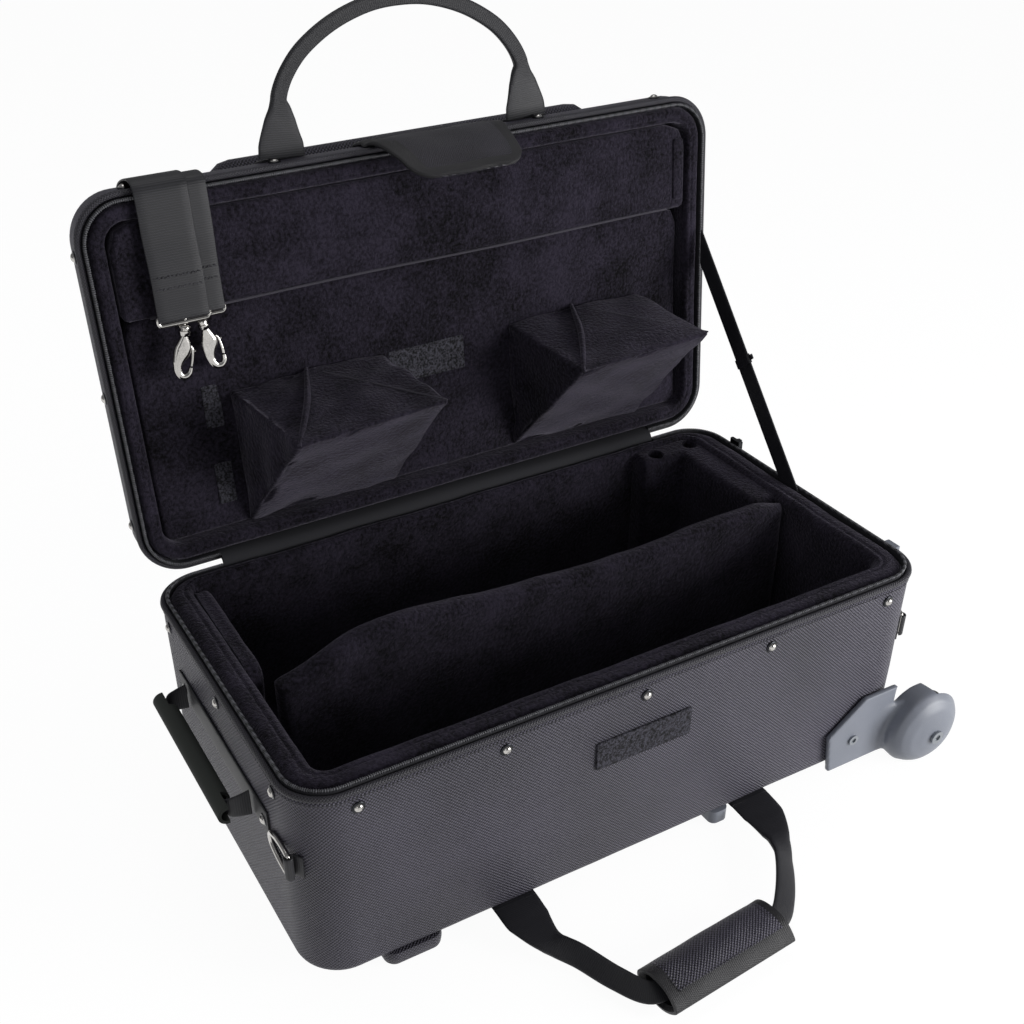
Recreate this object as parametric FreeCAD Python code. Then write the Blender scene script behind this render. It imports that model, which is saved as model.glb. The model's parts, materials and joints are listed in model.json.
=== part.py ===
import FreeCAD, Part
import math
import os

# A wheeled double case for two brass instruments, standing open on its feet.
# Lengths are in millimetres. While it is modelled, X runs along the case towards
# the wheeled end, -Y is the front, Z is up from the floor, and the case is centred
# on X = Y = 0. The lid is modelled closed and then turned open about its hinge.

# Case body
CASE_LENGTH = 580.0
CASE_WIDTH = 314.0
CORNER_RADIUS = 38.0
BOTTOM_ROUND = 8.0
GROUND_GAP = 16.0
RIM_HEIGHT = 203.0
WALL = 7.0
FIT_GAP = 0.3
RUNNING_GAP = 0.05
OVERRUN = 5.0

# Lid
LID_DEPTH = 57.0
LID_TOP_ROUND = 15.0
LID_OPEN_DEG = 95.92

# Rim: piping, zip tape and coil zip
BAND_HEIGHT = 9.0
PIPING_SIDES = 8
PIPING_RADIUS = 2.6
PIPING_INSET = 1.0
TAPE_INSET = 3.8
TAPE_THICKNESS = 2.4
COIL_HEIGHT = 2.35
COIL_HALF_GAP = 0.15
ZIP_BACK_INSET = 65.0

# Linings
LINING_THICKNESS = 22.0
BACK_LINING_THICKNESS = 10.0
FLOOR_PAD = 10.0
LINING_ROUND = 4.5
LINING_DROP = 2.0
CAVITY_CORNER = 12.0
LID_LINING_THICKNESS = 14.0
LID_LINING_ROOF = 3.0
PANEL_DEPTH = 15.0
POCKET_RISE = 12.0
POCKET_WIDTH = 70.0
PANEL_END_GAP = 2.5
PANEL_ROUND = 3.0

# Outer pocket on the lid
OUTER_POCKET_HEIGHT = 22.0
OUTER_POCKET_LENGTH = CASE_LENGTH - 80.0
OUTER_POCKET_WIDTH = CASE_WIDTH - 42.0
OUTER_POCKET_CORNER = 30.0
OUTER_POCKET_ROUND = 12.0

# Divider between the two compartments
DIVIDER_Y = -4.0
DIVIDER_THICKNESS = 20.0
DIVIDER_START_INSET = 47.0
DIVIDER_END_INSET = 32.0
DIVIDER_X_SHARES = (0.0, 0.075, 0.11, 0.19, 0.54, 0.70, 0.94, 1.0)
DIVIDER_TALLEST = 10.0
DIVIDER_DROP = 29.0
DIVIDER_DROP_SHARES = (1.0, 1.0, 0.24, 0.0, 0.52, 0.55, 0.28, 0.55)

# Bell pad and mouthpiece block
BELL_PAD_THICKNESS = 13.0
BELL_PAD_FRONT_GAP = 1.4
BELL_PAD_ROUND = 5.0
BLOCK_DROP = 6.0
BLOCK_END_LENGTH = 43.0
BLOCK_SHELF_LENGTH = 45.0
BLOCK_SHELF_WIDTH = 33.0
BLOCK_ROUND = 4.0
MOUTHPIECE_HOLE_RADIUS = 8.0
MOUTHPIECE_HOLE_DEPTH = 60.0
MOUTHPIECE_HOLE_PITCH = 41.0
MOUTHPIECE_HOLE_INSET = 28.0

# Wedge pads on the lid panel
PAD_LEFT_INSET = 100.0
PAD_LENGTH = 142.0
PAD_RIGHT_INSET = 213.0
PAD_FRONT_INSET = 142.0
PAD_WIDTH = 120.0
PAD_HEIGHT = 95.0
PAD_RIDGE_START = 23.0
PAD_RIDGE_LENGTH_LEFT = 121.0
PAD_RIDGE_LENGTH_RIGHT = 133.0
PAD_RIDGE_BACK = 18.0
PAD_FOLD = 70.0
PAD_FOLD_OUT = 3.0

# Rivets
RIVET_SIDES = 10
RIVET_RADIUS = 6.0
RIVET_TOP_RADIUS = 4.0
RIVET_HEIGHT = 2.0
RIVET_DROP = 21.0
LID_RIVET_RISE = 11.0
BASE_RIVET_SHARES = (-0.84, -0.43, 0.0, 0.42, 0.85)
END_RIVET_SHARES = (-0.72, 0.0, 0.72)
LID_RIVET_SHARES = (-0.84, -0.42, 0.42, 0.84)

# Webbing, patches and straps
WEBBING_THICKNESS = 1.6
PATCH_THICKNESS = 2.0
LOOP_PATCH_LENGTH = 90.0
LOOP_PATCH_HEIGHT = 27.0
LOOP_PATCH_TOP_DROP = 50.5
END_STRIP_HEIGHT = 25.0
END_STRIP_DROP = 67.0
END_STRIP_FRONT_INSET = 60.0
END_STRIP_BACK_INSET = 59.0
END_RIVET_FRONT_INSET = 68.0
END_RIVET_BACK_INSET = 70.0

# D-rings
D_TAB_ANGLE_DEG = 204.0
D_TAB_START_DEG = 201.0
D_TAB_END_DEG = 232.0
D_TAB_HEIGHT = 21.0
D_TAB_THICKNESS = 2.2
D_BAR_RADIUS = 1.8
D_SLEEVE_WALL = 1.8
D_RING_DROP = 73.5
D_RING_HEIGHT = 26.0
D_RING_REACH = 38.0
D_RING_TIP_HEIGHT = 12.0
D_RING_BAND = 4.0
D_RING_THICKNESS = 3.0

# Wheels and their moulded brackets
WHEEL_OUT = 15.0
WHEEL_RADIUS = 33.0
TYRE_WIDTH = 16.0
TYRE_ROUND = 4.0
RIM_RADIUS = 22.0
HUB_WIDTH = 14.0
HUB_BOSS_RADIUS = 8.0
HUB_WEB = 4.0
HUB_RIM_WALL = 3.0
HUB_HOLE_RADIUS = 4.0
HUB_HOLE_SIDES = 10
HUB_HOLE_COUNT = 5
WHEEL_SIDE_GAP = 1.2
AXLE_RADIUS = 3.0
AXLE_HEAD_RADIUS = 6.5
AXLE_HEAD_HEIGHT = 2.6
NUT_RADIUS = 5.5
NUT_HEIGHT = 4.0
ARM_THICKNESS = 2.5
ARM_RADIUS = 14.0
PLATE_THICKNESS = 5.0
PLATE_BORDER = 4.0
PLATE_RECESS = 1.5
PLATE_LEFT = 104.0
PLATE_RIGHT = 32.0
PLATE_TOP = 50.0
PLATE_BOTTOM = 21.5
PLATE_TOP_CHAMFER = 38.0
PLATE_SIDE_DROP = 30.0
PLATE_LOW_TAPER = 6.0
FLANGE_DEPTH = 40.0
FENDER_GAP = 2.0
FENDER_WALL = 3.2
FENDER_START_DEG = 80.0
FENDER_END_DEG = 228.0
FENDER_LIP = 6.5
COVER_RADIUS = 31.0
DOME_RADIUS_SHARE = 0.72
DOME_RISE_SHARE = 0.66
DOME_TOP_SHARE = 0.36
COVER_RISE = 10.0
COVER_WALL = 3.0
COVER_SEAT_RADIUS = 9.0
PLATE_BOLT_BACK = 74.5
PLATE_BOLT_RISE = 7.5
PLATE_BOLT_RADIUS = 5.0
PLATE_BOLT_HEIGHT = 2.5
PLATE_BOLT_SOCKET = 2.5

# Feet
STAND_FOOT_INSET = 81.0
STAND_FOOT_WIDTH = 14.0
STAND_FOOT_DROP = 36.0
STAND_FOOT_HEIGHT = 49.0
STAND_FOOT_TIP_HEIGHT = 20.0
STAND_FLANGE_WIDTH = 28.0
STAND_FLANGE_HEIGHT = 61.0
STAND_FLANGE_THICKNESS = 3.0
STAND_FOOT_ROUND = 3.0
GREY_FOOT_END_INSET = 199.0
GREY_FOOT_LENGTH = 18.0
FOOT_WIDTH = 40.0
GREY_FOOT_ROUND = 3.0
FABRIC_FOOT_END_INSET = 85.0
FABRIC_FOOT_LENGTH = 50.0
FABRIC_FOOT_ROUND = 7.0

# Carrying handle on the base
BASE_STRAP_LEFT_X = -116.0
BASE_STRAP_RIGHT_X = 122.0
BASE_STRAP_WIDTH = 39.0
BASE_STRAP_FOLDED = 19.0
BASE_STRAP_THICKNESS = 3.0
BASE_PIVOT_OUT = 1.0
BASE_PIVOT_Z = 14.3
BASE_ROLL_RADIUS = 1.4
BASE_STRAP_REACH = 52.0
BASE_FOLD_OUT_LEFT = 52.0
BASE_FOLD_OUT_RIGHT = 58.0
WRAP_LEFT_X = -74.0
WRAP_RIGHT_X = 55.0
WRAP_OUT_LEFT = 128.0
WRAP_OUT_RIGHT = 117.5
WRAP_FULLNESS_SHARE = 1.06
WRAP_WIDTH = 47.0
WRAP_HEIGHT = 28.0
WRAP_LIFT = 1.2
WRAP_CORE_WIDTH = 17.0
WRAP_CORE_HEIGHT = 5.0
WRAP_END_MARGIN = 7.0
ANCHOR_LENGTH = 90.0

# Handle on the lid
LID_HANDLE_D = 25.5
LID_HANDLE_PIVOT_OUT = 3.0
LID_STRAP_WIDTH = 40.0
LID_STRAP_FOLDED = 12.0
LID_STRAP_THICKNESS = 3.0
LID_HANDLE_HALF = 113.0
LID_HANDLE_REACH = 105.0
LID_HANDLE_PINCH = 42.0
LID_ANCHOR_HEIGHT = 14.0
LID_ANCHOR_START = 1.6
LID_ANCHOR_THICKNESS = 2.2
LID_ROLL_RADIUS = 1.5
LID_HANDLE_X_SHARES = (0.97, 0.77, 0.52, 0.2)
LID_HANDLE_Y_SHARES = (0.42, 0.68, 0.88, 0.99)

# Closure flap
FLAP_X = 14.0
FLAP_ROOT_WIDTH = 120.0
FLAP_TIP_WIDTH = 100.0
FLAP_ROOT_D = 22.0
FLAP_ROOT_HEIGHT = 22.0
FLAP_PIVOT_OUT = 2.8
FLAP_THICKNESS = 3.0
FLAP_LENGTH = 84.0
FLAP_BULGE = 10.4
FLAP_BULGE_SHARE = 0.4
FLAP_TIP_OUT = 3.0
FLAP_SWING_DEG = 15.0

# End grip
GRIP_X_OUT = 23.0
GRIP_RADIUS = 8.0
GRIP_BORE = 5.2
GRIP_FRONT_INSET = 85.0
GRIP_BACK_INSET = 75.0
GRIP_NOTCH_LENGTH = 18.0
GRIP_PIVOT_OUT = 4.5
GRIP_CORE_HEIGHT = 8.0
GRIP_CORE_WIDTH = 4.0
GRIP_LEG_WIDTH = 12.0
GRIP_LEG_INSET = 4.0

# Zip slider
SLIDER_INSET = 57.0
SLIDER_LENGTH = 13.0
SLIDER_WIDTH = 3.8
SLIDER_HEIGHT = 6.4
PULL_WIDTH = 9.0
PULL_LENGTH = 27.0
PULL_THICKNESS = 1.8
PULL_PIN_RADIUS = 0.9

# Shoulder sling, stowed over the open lid
SLING_WIDTH = 42.0
SLING_FRONT_INSET = 68.0
SLING_REAR_INSET = 83.0
SLING_FRONT_D = -4.4
SLING_REAR_D = 2.0
SLING_THICKNESS = 1.6
SLING_OVER_OUT = 11.0
SLING_HANG = 270.0
SLING_BEHIND_GAP = 7.0
RING_WIDTH = 45.0
RING_DEPTH = 11.0
RING_BAND = 3.2
RING_THICKNESS = 3.2
RING_PANEL_GAP = 1.7
RING_ROUND_SHARE = 0.6
SWIVEL_STUD_RADIUS = 1.6
SWIVEL_COLLAR_RADIUS = 4.2
SWIVEL_COLLAR_LENGTH = 5.0
SWIVEL_HEAD_RADIUS = 2.4
SWIVEL_HEAD_LENGTH = 1.6
SWIVEL_PLAY = 1.0
HOOK_HALF_WIDTH = 9.6
HOOK_LENGTH = 40.0
HOOK_BAND = 3.6
HOOK_THICKNESS = 4.0
HOOK_ROUND_SHARE = 0.95
HOOK_LEAN_DEG = 12.0
GATE_LENGTH = 17.0
GATE_WIDTH = 2.0
GATE_HEEL = 4.5
GATE_PIN_RADIUS = 0.6
GATE_ROUND_SHARE = 0.45

# Stay strap
STAY_WIDTH = 20.0
STAY_Y_BASE = 12.0
STAY_Y_LID = -21.0
STAY_INSET = 7.0

# Loop strips on the lid panel
LOOP_STRIP_THICKNESS = 1.2
LOOP_STRIP_WIDTH = 15.0
LOOP_STRIP_LENGTH = 37.0
LOOP_STRIP_END_INSET = 84.0
LOOP_STRIP_Y_SHARES = (0.08, 0.30)
LOOP_STRIP_BETWEEN_LENGTH = 74.0
LOOP_STRIP_BETWEEN_WIDTH = 30.0
LOOP_STRIP_BETWEEN_X = -6.0
LOOP_STRIP_BETWEEN_INSET = 127.0

# Derived places
HALF_LENGTH = CASE_LENGTH / 2
HALF_WIDTH = CASE_WIDTH / 2
HINGE_Y = HALF_WIDTH
HINGE_Z = RIM_HEIGHT
SHELL_TOP = RIM_HEIGHT - BAND_HEIGHT
LID_SHELL_BOTTOM = RIM_HEIGHT + BAND_HEIGHT
LID_TOP = RIM_HEIGHT + LID_DEPTH
INNER_INSET = WALL + FIT_GAP
CAVITY_FLOOR = GROUND_GAP + INNER_INSET + FLOOR_PAD
CAVITY_X = HALF_LENGTH - INNER_INSET - LINING_THICKNESS
CAVITY_FRONT = -(HALF_WIDTH - INNER_INSET - LINING_THICKNESS)
CAVITY_BACK = HALF_WIDTH - INNER_INSET - BACK_LINING_THICKNESS
LINING_TOP = RIM_HEIGHT - LINING_DROP
WALL_FRONT = -HALF_WIDTH
WHEEL_X = HALF_LENGTH + WHEEL_OUT
WHEEL_Z = WHEEL_RADIUS
CASE_REACH = WHEEL_X + WHEEL_RADIUS
WHEEL_INNER = HALF_WIDTH + FIT_GAP + ARM_THICKNESS + WHEEL_SIDE_GAP
WHEEL_OUTER = WHEEL_INNER + TYRE_WIDTH
COVER_BASE = WHEEL_OUTER + WHEEL_SIDE_GAP
COVER_TOP = COVER_BASE + COVER_WALL + COVER_RISE
GRIP_X = -(HALF_LENGTH + GRIP_X_OUT)
GRIP_FRONT = -HALF_WIDTH + GRIP_FRONT_INSET
GRIP_BACK = HALF_WIDTH - GRIP_BACK_INSET
PANEL_Z = RIM_HEIGHT + PANEL_DEPTH
POCKET_Z = PANEL_Z - POCKET_RISE
LID_INNER_INSET = INNER_INSET + LID_LINING_THICKNESS
PANEL_ROOF = LID_TOP - INNER_INSET - LID_LINING_ROOF
WRAP_Z = WRAP_HEIGHT / 2 + WRAP_LIFT
ZIP_BACK_HALF = HALF_LENGTH - ZIP_BACK_INSET
DIVIDER_START = -HALF_LENGTH + DIVIDER_START_INSET
DIVIDER_END = HALF_LENGTH - DIVIDER_END_INSET
DIVIDER_BACK = DIVIDER_Y + DIVIDER_THICKNESS / 2
PAD_START_LEFT = -HALF_LENGTH + PAD_LEFT_INSET
PAD_START_RIGHT = HALF_LENGTH - PAD_RIGHT_INSET
PAD_FRONT = HALF_WIDTH - PAD_FRONT_INSET
END_STRIP_Z = RIM_HEIGHT - END_STRIP_DROP
D_RING_Z = RIM_HEIGHT - D_RING_DROP
STAND_FOOT_Y = HALF_WIDTH - STAND_FOOT_INSET
STAND_FOOT_TOP = RIM_HEIGHT - STAND_FOOT_DROP
GREY_FOOT_X = HALF_LENGTH - GREY_FOOT_END_INSET
FABRIC_FOOT_X = -HALF_LENGTH + FABRIC_FOOT_END_INSET
BASE_PIVOT_Y = WALL_FRONT - BASE_PIVOT_OUT
BASE_FOLD_Y_LEFT = WALL_FRONT - BASE_FOLD_OUT_LEFT
BASE_FOLD_Y_RIGHT = WALL_FRONT - BASE_FOLD_OUT_RIGHT
WRAP_LEFT_Y = WALL_FRONT - WRAP_OUT_LEFT
WRAP_RIGHT_Y = WALL_FRONT - WRAP_OUT_RIGHT
SLIDER_Y = HALF_WIDTH - SLIDER_INSET
LOOP_STRIP_X = -HALF_LENGTH + LOOP_STRIP_END_INSET
LOOP_STRIP_BETWEEN_Y = HALF_WIDTH - LOOP_STRIP_BETWEEN_INSET
PANEL_SEAM_Y = -(HALF_WIDTH - LID_INNER_INSET) + POCKET_WIDTH
RING_FRONT_Y = PANEL_SEAM_Y + RING_PANEL_GAP
RING_END_Y = RING_FRONT_Y + RING_DEPTH
SLING_FRONT_X = -HALF_LENGTH + SLING_FRONT_INSET
SLING_REAR_X = -HALF_LENGTH + SLING_REAR_INSET
SLING_OVER_Y = WALL_FRONT - SLING_OVER_OUT
SLING_BEHIND_Z = LID_TOP + OUTER_POCKET_HEIGHT + SLING_BEHIND_GAP
SLING_TURN_Y = RING_FRONT_Y - FIT_GAP
SLING_LAYER_PITCH = SLING_THICKNESS + FIT_GAP

QUARTER_DEG = 90.0
X_AXIS = FreeCAD.Vector(1, 0, 0)
Y_AXIS = FreeCAD.Vector(0, 1, 0)
Z_AXIS = FreeCAD.Vector(0, 0, 1)


def vec(x, y, z):
    """A point or direction."""
    return FreeCAD.Vector(x, y, z)


def box(low, high):
    """A block between two opposite corners."""
    size = [b - a for a, b in zip(low, high)]
    return Part.makeBox(size[0], size[1], size[2], vec(*low))


def rod(radius, start, end):
    """A round bar between two points."""
    run = end - start
    return Part.makeCylinder(radius, run.Length, start, run)


def rounded_plan(low_x, high_x, low_y, high_y, radius, z):
    """A rounded rectangle, as a closed wire of lines and arcs at height z."""
    corners = (
        (high_x - radius, high_y - radius),
        (low_x + radius, high_y - radius),
        (low_x + radius, low_y + radius),
        (high_x - radius, low_y + radius),
    )
    arcs = []
    for turn, (x, y) in enumerate(corners):
        start = turn * QUARTER_DEG
        arcs.append(Part.makeCircle(radius, vec(x, y, z), Z_AXIS, start, start + QUARTER_DEG))
    edges = []
    for index, arc in enumerate(arcs):
        following = arcs[(index + 1) % len(arcs)]
        edges.append(arc)
        edges.append(Part.makeLine(arc.lastVertex().Point, following.firstVertex().Point))
    return Part.Wire(edges)


def rounded_block(low, high, radius):
    """An upright block with rounded vertical edges."""
    plan = rounded_plan(low[0], high[0], low[1], high[1], radius, low[2])
    return Part.Face(plan).extrude(vec(0, 0, high[2] - low[2]))


def case_block(inset, low, high):
    """The case's plan, drawn in by an inset, between two heights."""
    radius = CORNER_RADIUS - inset
    near = (-HALF_LENGTH + inset, -HALF_WIDTH + inset, low)
    far = (HALF_LENGTH - inset, HALF_WIDTH - inset, high)
    return rounded_block(near, far, radius)


def case_ring(inset, thickness, low, high):
    """A band that follows the case's plan."""
    inner = case_block(inset + thickness, low - OVERRUN, high + OVERRUN)
    return case_block(inset, low, high).cut(inner)


def edges_at(shape, z):
    """The edges of a shape that lie in the plane at height z."""
    found = []
    for edge in shape.Edges:
        bounds = edge.BoundBox
        if abs(bounds.ZMin - z) < FIT_GAP / 10 and abs(bounds.ZMax - z) < FIT_GAP / 10:
            found.append(edge)
    return found


def soften(shape, radius, *heights):
    """Round every edge that lies in one of the given horizontal planes."""
    edges = [edge for z in heights for edge in edges_at(shape, z)]
    return shape.makeFillet(radius, edges)


def bevel(shape, size, *heights):
    """Bevel every edge that lies in one of the given horizontal planes."""
    edges = [edge for z in heights for edge in edges_at(shape, z)]
    return shape.makeChamfer(size, edges)


def regular_outline(centre, outward, radius, sides):
    """A regular outline round a point, square to a level direction."""
    level = outward.cross(Z_AXIS)
    points = []
    for step in range(sides):
        turn = 2 * math.pi * (step + 0.5) / sides
        points.append(centre + level * (radius * math.cos(turn)) + Z_AXIS * (radius * math.sin(turn)))
    return Part.makePolygon(points + [points[0]])


def prism(points, run):
    """A flat outline pushed along a direction."""
    return Part.Face(Part.makePolygon(points + [points[0]])).extrude(run)


def revolve_y(profile, x, z, start_deg=0, sweep_deg=360):
    """Turn a (radius, y) outline about the Y axis through x, z."""
    points = [vec(x + radius, y, z) for radius, y in profile]
    face = Part.Face(Part.makePolygon(points + [points[0]]))
    centre = vec(x, 0, z)
    face.rotate(centre, Y_AXIS, -start_deg)
    return face.revolve(centre, Y_AXIS, -sweep_deg)


def mirrored_y(shape):
    """The same piece on the other side of the case."""
    return shape.mirror(vec(0, 0, 0), Y_AXIS)


def mirrored_x(shape):
    """The same piece at the other end of the case."""
    return shape.mirror(vec(0, 0, 0), X_AXIS)


def fused(pieces):
    """Several solids joined into one, one after another."""
    body = pieces[0]
    for piece in pieces[1:]:
        body = body.fuse(piece)
    return body.removeSplitter()


def base_shell():
    """Outer shell of the base: nylon over board, open at the top."""
    outer = case_block(0, GROUND_GAP, SHELL_TOP)
    outer = soften(outer, BOTTOM_ROUND, GROUND_GAP)
    return outer.cut(case_block(WALL, GROUND_GAP + WALL, SHELL_TOP + OVERRUN))


def lid_shell():
    """Outer shell of the lid, rounded over its top edge."""
    outer = case_block(0, LID_SHELL_BOTTOM, LID_TOP)
    outer = soften(outer, LID_TOP_ROUND, LID_TOP)
    return outer.cut(case_block(WALL, LID_SHELL_BOTTOM - OVERRUN, LID_TOP - WALL))


def piping(z):
    """Welted cord sewn round the rim of a shell."""
    inset = PIPING_INSET
    radius = CORNER_RADIUS - inset
    path = rounded_plan(
        -HALF_LENGTH + inset, HALF_LENGTH - inset, -HALF_WIDTH + inset, HALF_WIDTH - inset, radius, z
    )
    start = path.Edges[0].firstVertex().Point
    section = regular_outline(start, Y_AXIS, PIPING_RADIUS, PIPING_SIDES)
    return path.makePipeShell([section], True, False)


def zip_band(near, far):
    """Zip tape or coil: a band round three sides, left out along the hinge."""
    low = min(near, far)
    high = max(near, far)
    ring = case_ring(TAPE_INSET, TAPE_THICKNESS, low, high)
    back = box(
        (-ZIP_BACK_HALF, 0, low - OVERRUN),
        (ZIP_BACK_HALF, HALF_WIDTH + OVERRUN, high + OVERRUN),
    )
    return ring.cut(back)


def fabric_hinge():
    """Fabric strip that joins lid and base, bent as it lies with the lid open."""
    low = vec(0, HALF_WIDTH - TAPE_INSET - TAPE_THICKNESS, SHELL_TOP + FIT_GAP)
    lid_edge = opened(Part.Vertex(vec(0, low.y, RIM_HEIGHT + BAND_HEIGHT - FIT_GAP))).Point
    bend = lid_edge.z - RIM_HEIGHT
    thickness = TAPE_THICKNESS - FIT_GAP
    half = ZIP_BACK_HALF - FIT_GAP
    centre = vec(-half, low.y + thickness + bend, RIM_HEIGHT - thickness)
    upright = box((-half, low.y, low.z), (half, low.y + thickness, centre.z))
    outer_radius = bend + thickness
    bend_outer = Part.makeCylinder(outer_radius, half * 2, centre, X_AXIS)
    bend_inner = Part.makeCylinder(bend, half * 2 + OVERRUN * 2, centre - X_AXIS * OVERRUN, X_AXIS)
    quarter = box(
        (-half, centre.y - outer_radius, centre.z),
        (half, centre.y, centre.z + outer_radius),
    )
    level = box(
        (-half, centre.y, centre.z + bend),
        (half, lid_edge.y - FIT_GAP, centre.z + outer_radius),
    )
    return fused([upright, bend_outer.cut(bend_inner).common(quarter), level])


def base_lining():
    """Padded plush lining of the base."""
    outer = case_block(INNER_INSET, GROUND_GAP + INNER_INSET, LINING_TOP)
    hollow = rounded_block(
        (-CAVITY_X, CAVITY_FRONT, CAVITY_FLOOR),
        (CAVITY_X, CAVITY_BACK, LINING_TOP + OVERRUN),
        CAVITY_CORNER,
    )
    lining = bevel(outer.cut(hollow), LINING_ROUND, LINING_TOP)
    return lining.cut(block_outline(FIT_GAP, GROUND_GAP, LINING_TOP + OVERRUN))


def block_outline(grow, low, high):
    """The mouthpiece block's L-shaped plan, grown by a clearance, between two heights."""
    reach = FIT_GAP if grow else 0
    right = HALF_LENGTH - INNER_INSET - FIT_GAP + reach
    back = HALF_WIDTH - INNER_INSET - FIT_GAP + reach
    front = DIVIDER_BACK + FIT_GAP - grow
    left = right - reach - BLOCK_END_LENGTH - grow
    shelf_left = left - BLOCK_SHELF_LENGTH
    shelf_front = back - reach - BLOCK_SHELF_WIDTH - grow
    radius = CORNER_RADIUS - INNER_INSET
    lean = radius * math.sqrt(0.5)
    arc_start = vec(right, back - radius, low)
    arc_middle = vec(right - radius + lean, back - radius + lean, low)
    arc_end = vec(right - radius, back, low)
    corners = [
        arc_end,
        vec(shelf_left, back, low),
        vec(shelf_left, shelf_front, low),
        vec(left, shelf_front, low),
        vec(left, front, low),
        vec(right, front, low),
        arc_start,
    ]
    edges = [Part.makeLine(first, second) for first, second in zip(corners, corners[1:])]
    edges.append(Part.Arc(arc_start, arc_middle, arc_end).toShape())
    return Part.Face(Part.Wire(edges)).extrude(vec(0, 0, high - low))


def mouthpiece_holes():
    """Places of the two mouthpiece holes."""
    back = HALF_WIDTH - MOUTHPIECE_HOLE_INSET
    right = HALF_LENGTH - INNER_INSET - MOUTHPIECE_HOLE_INSET
    return [vec(right, back, 0), vec(right - MOUTHPIECE_HOLE_PITCH, back, 0)]


def mouthpiece_block():
    """Covered foam block with two holes."""
    top = RIM_HEIGHT - BLOCK_DROP
    block = block_outline(0, CAVITY_FLOOR + FIT_GAP, top)
    block = soften(block, BLOCK_ROUND, top)
    for place in mouthpiece_holes():
        bottom = vec(place.x, place.y, top - MOUTHPIECE_HOLE_DEPTH)
        mouth = vec(place.x, place.y, top + OVERRUN)
        block = block.cut(rod(MOUTHPIECE_HOLE_RADIUS, bottom, mouth))
    return block


def cushion_section(x, y, half, floor, top):
    """An upright section with a rounded top, for a padded wall."""
    left = vec(x, y - half, top - half)
    right = vec(x, y + half, top - half)
    crown = vec(x, y, top)
    lean = half * math.sqrt(0.5)
    left_mid = vec(x, y - lean, top - half + lean)
    right_mid = vec(x, y + lean, top - half + lean)
    return Part.Wire([
        Part.makeLine(vec(x, y - half, floor), left),
        Part.Arc(left, left_mid, crown).toShape(),
        Part.Arc(crown, right_mid, right).toShape(),
        Part.makeLine(right, vec(x, y + half, floor)),
        Part.makeLine(vec(x, y + half, floor), vec(x, y - half, floor)),
    ])


def divider():
    """Padded wall between the compartments, whose top rises and falls along its length."""
    span = DIVIDER_END - DIVIDER_START
    sections = []
    for along, drop in zip(DIVIDER_X_SHARES, DIVIDER_DROP_SHARES):
        x = DIVIDER_START + span * along
        top = RIM_HEIGHT + DIVIDER_TALLEST - DIVIDER_DROP * drop
        sections.append(cushion_section(x, DIVIDER_Y, DIVIDER_THICKNESS / 2, CAVITY_FLOOR + FIT_GAP, top))
    return Part.makeLoft(sections, True, True)


def bell_pad():
    """Pad on the end wall that an instrument's bell rests against."""
    low = (-CAVITY_X + FIT_GAP, DIVIDER_BACK + BELL_PAD_FRONT_GAP, CAVITY_FLOOR + FIT_GAP)
    high = (low[0] + BELL_PAD_THICKNESS, CAVITY_BACK - FIT_GAP, RIM_HEIGHT - BLOCK_DROP)
    pad = rounded_block(low, high, BELL_PAD_ROUND)
    pad = soften(pad, BELL_PAD_ROUND, high[2])
    corner = base_lining()
    return pad.cut(corner)


def lid_lining():
    """Padded plush rim and roof of the lid."""
    bottom = RIM_HEIGHT + LINING_DROP
    outer = case_block(INNER_INSET, bottom, LID_TOP - INNER_INSET)
    hollow = case_block(LID_INNER_INSET, bottom - OVERRUN, PANEL_ROOF)
    return bevel(outer.cut(hollow), LINING_ROUND, bottom)


def lid_panel(front, back, face):
    """One padded panel inside the lid, between two lines across it."""
    panel = case_block(LID_INNER_INSET + PANEL_END_GAP, face, PANEL_ROOF - FIT_GAP)
    panel = panel.common(box((-CASE_LENGTH, front, face), (CASE_LENGTH, back, LID_TOP)))
    return soften(panel, PANEL_ROUND, face)


def outer_pocket():
    """Zipped flat pocket on the lid's outer face."""
    pocket = rounded_block(
        (-OUTER_POCKET_LENGTH / 2, -OUTER_POCKET_WIDTH / 2, LID_TOP),
        (OUTER_POCKET_LENGTH / 2, OUTER_POCKET_WIDTH / 2, LID_TOP + OUTER_POCKET_HEIGHT),
        OUTER_POCKET_CORNER,
    )
    return soften(pocket, OUTER_POCKET_ROUND, LID_TOP + OUTER_POCKET_HEIGHT)


def wedge_pad(start, ridge_length):
    """Wedge pad under the lid panel: a long slope, a steep folded face and two ends."""
    z = PANEL_Z - FIT_GAP
    ridge_z = PANEL_Z - PAD_HEIGHT
    back = PAD_FRONT + PAD_WIDTH
    a = vec(start, PAD_FRONT, z)
    b = vec(start + PAD_FOLD, PAD_FRONT - PAD_FOLD_OUT, z)
    c = vec(start + PAD_LENGTH, PAD_FRONT, z)
    d = vec(start + PAD_LENGTH, back, z)
    e = vec(start, back, z)
    n = vec(start + PAD_RIDGE_START, PAD_FRONT + PAD_RIDGE_BACK, ridge_z)
    t = vec(start + PAD_RIDGE_START + ridge_length, PAD_FRONT + PAD_RIDGE_BACK, ridge_z)
    faces = [(a, b, c, d, e), (a, n, b), (b, n, t), (b, t, c), (a, e, n), (n, e, d), (n, d, t), (c, t, d)]
    shell = Part.Shell([Part.Face(Part.makePolygon(list(ring) + [ring[0]])) for ring in faces])
    solid = Part.Solid(shell)
    if solid.Volume < 0:
        solid.reverse()
    return solid


def rivet(place, outward):
    """One low rivet head standing on a wall."""
    foot = regular_outline(place, outward, RIVET_RADIUS, RIVET_SIDES)
    top = regular_outline(place + outward * RIVET_HEIGHT, outward, RIVET_TOP_RADIUS, RIVET_SIDES)
    return Part.makeLoft([foot, top], True, True)


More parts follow.
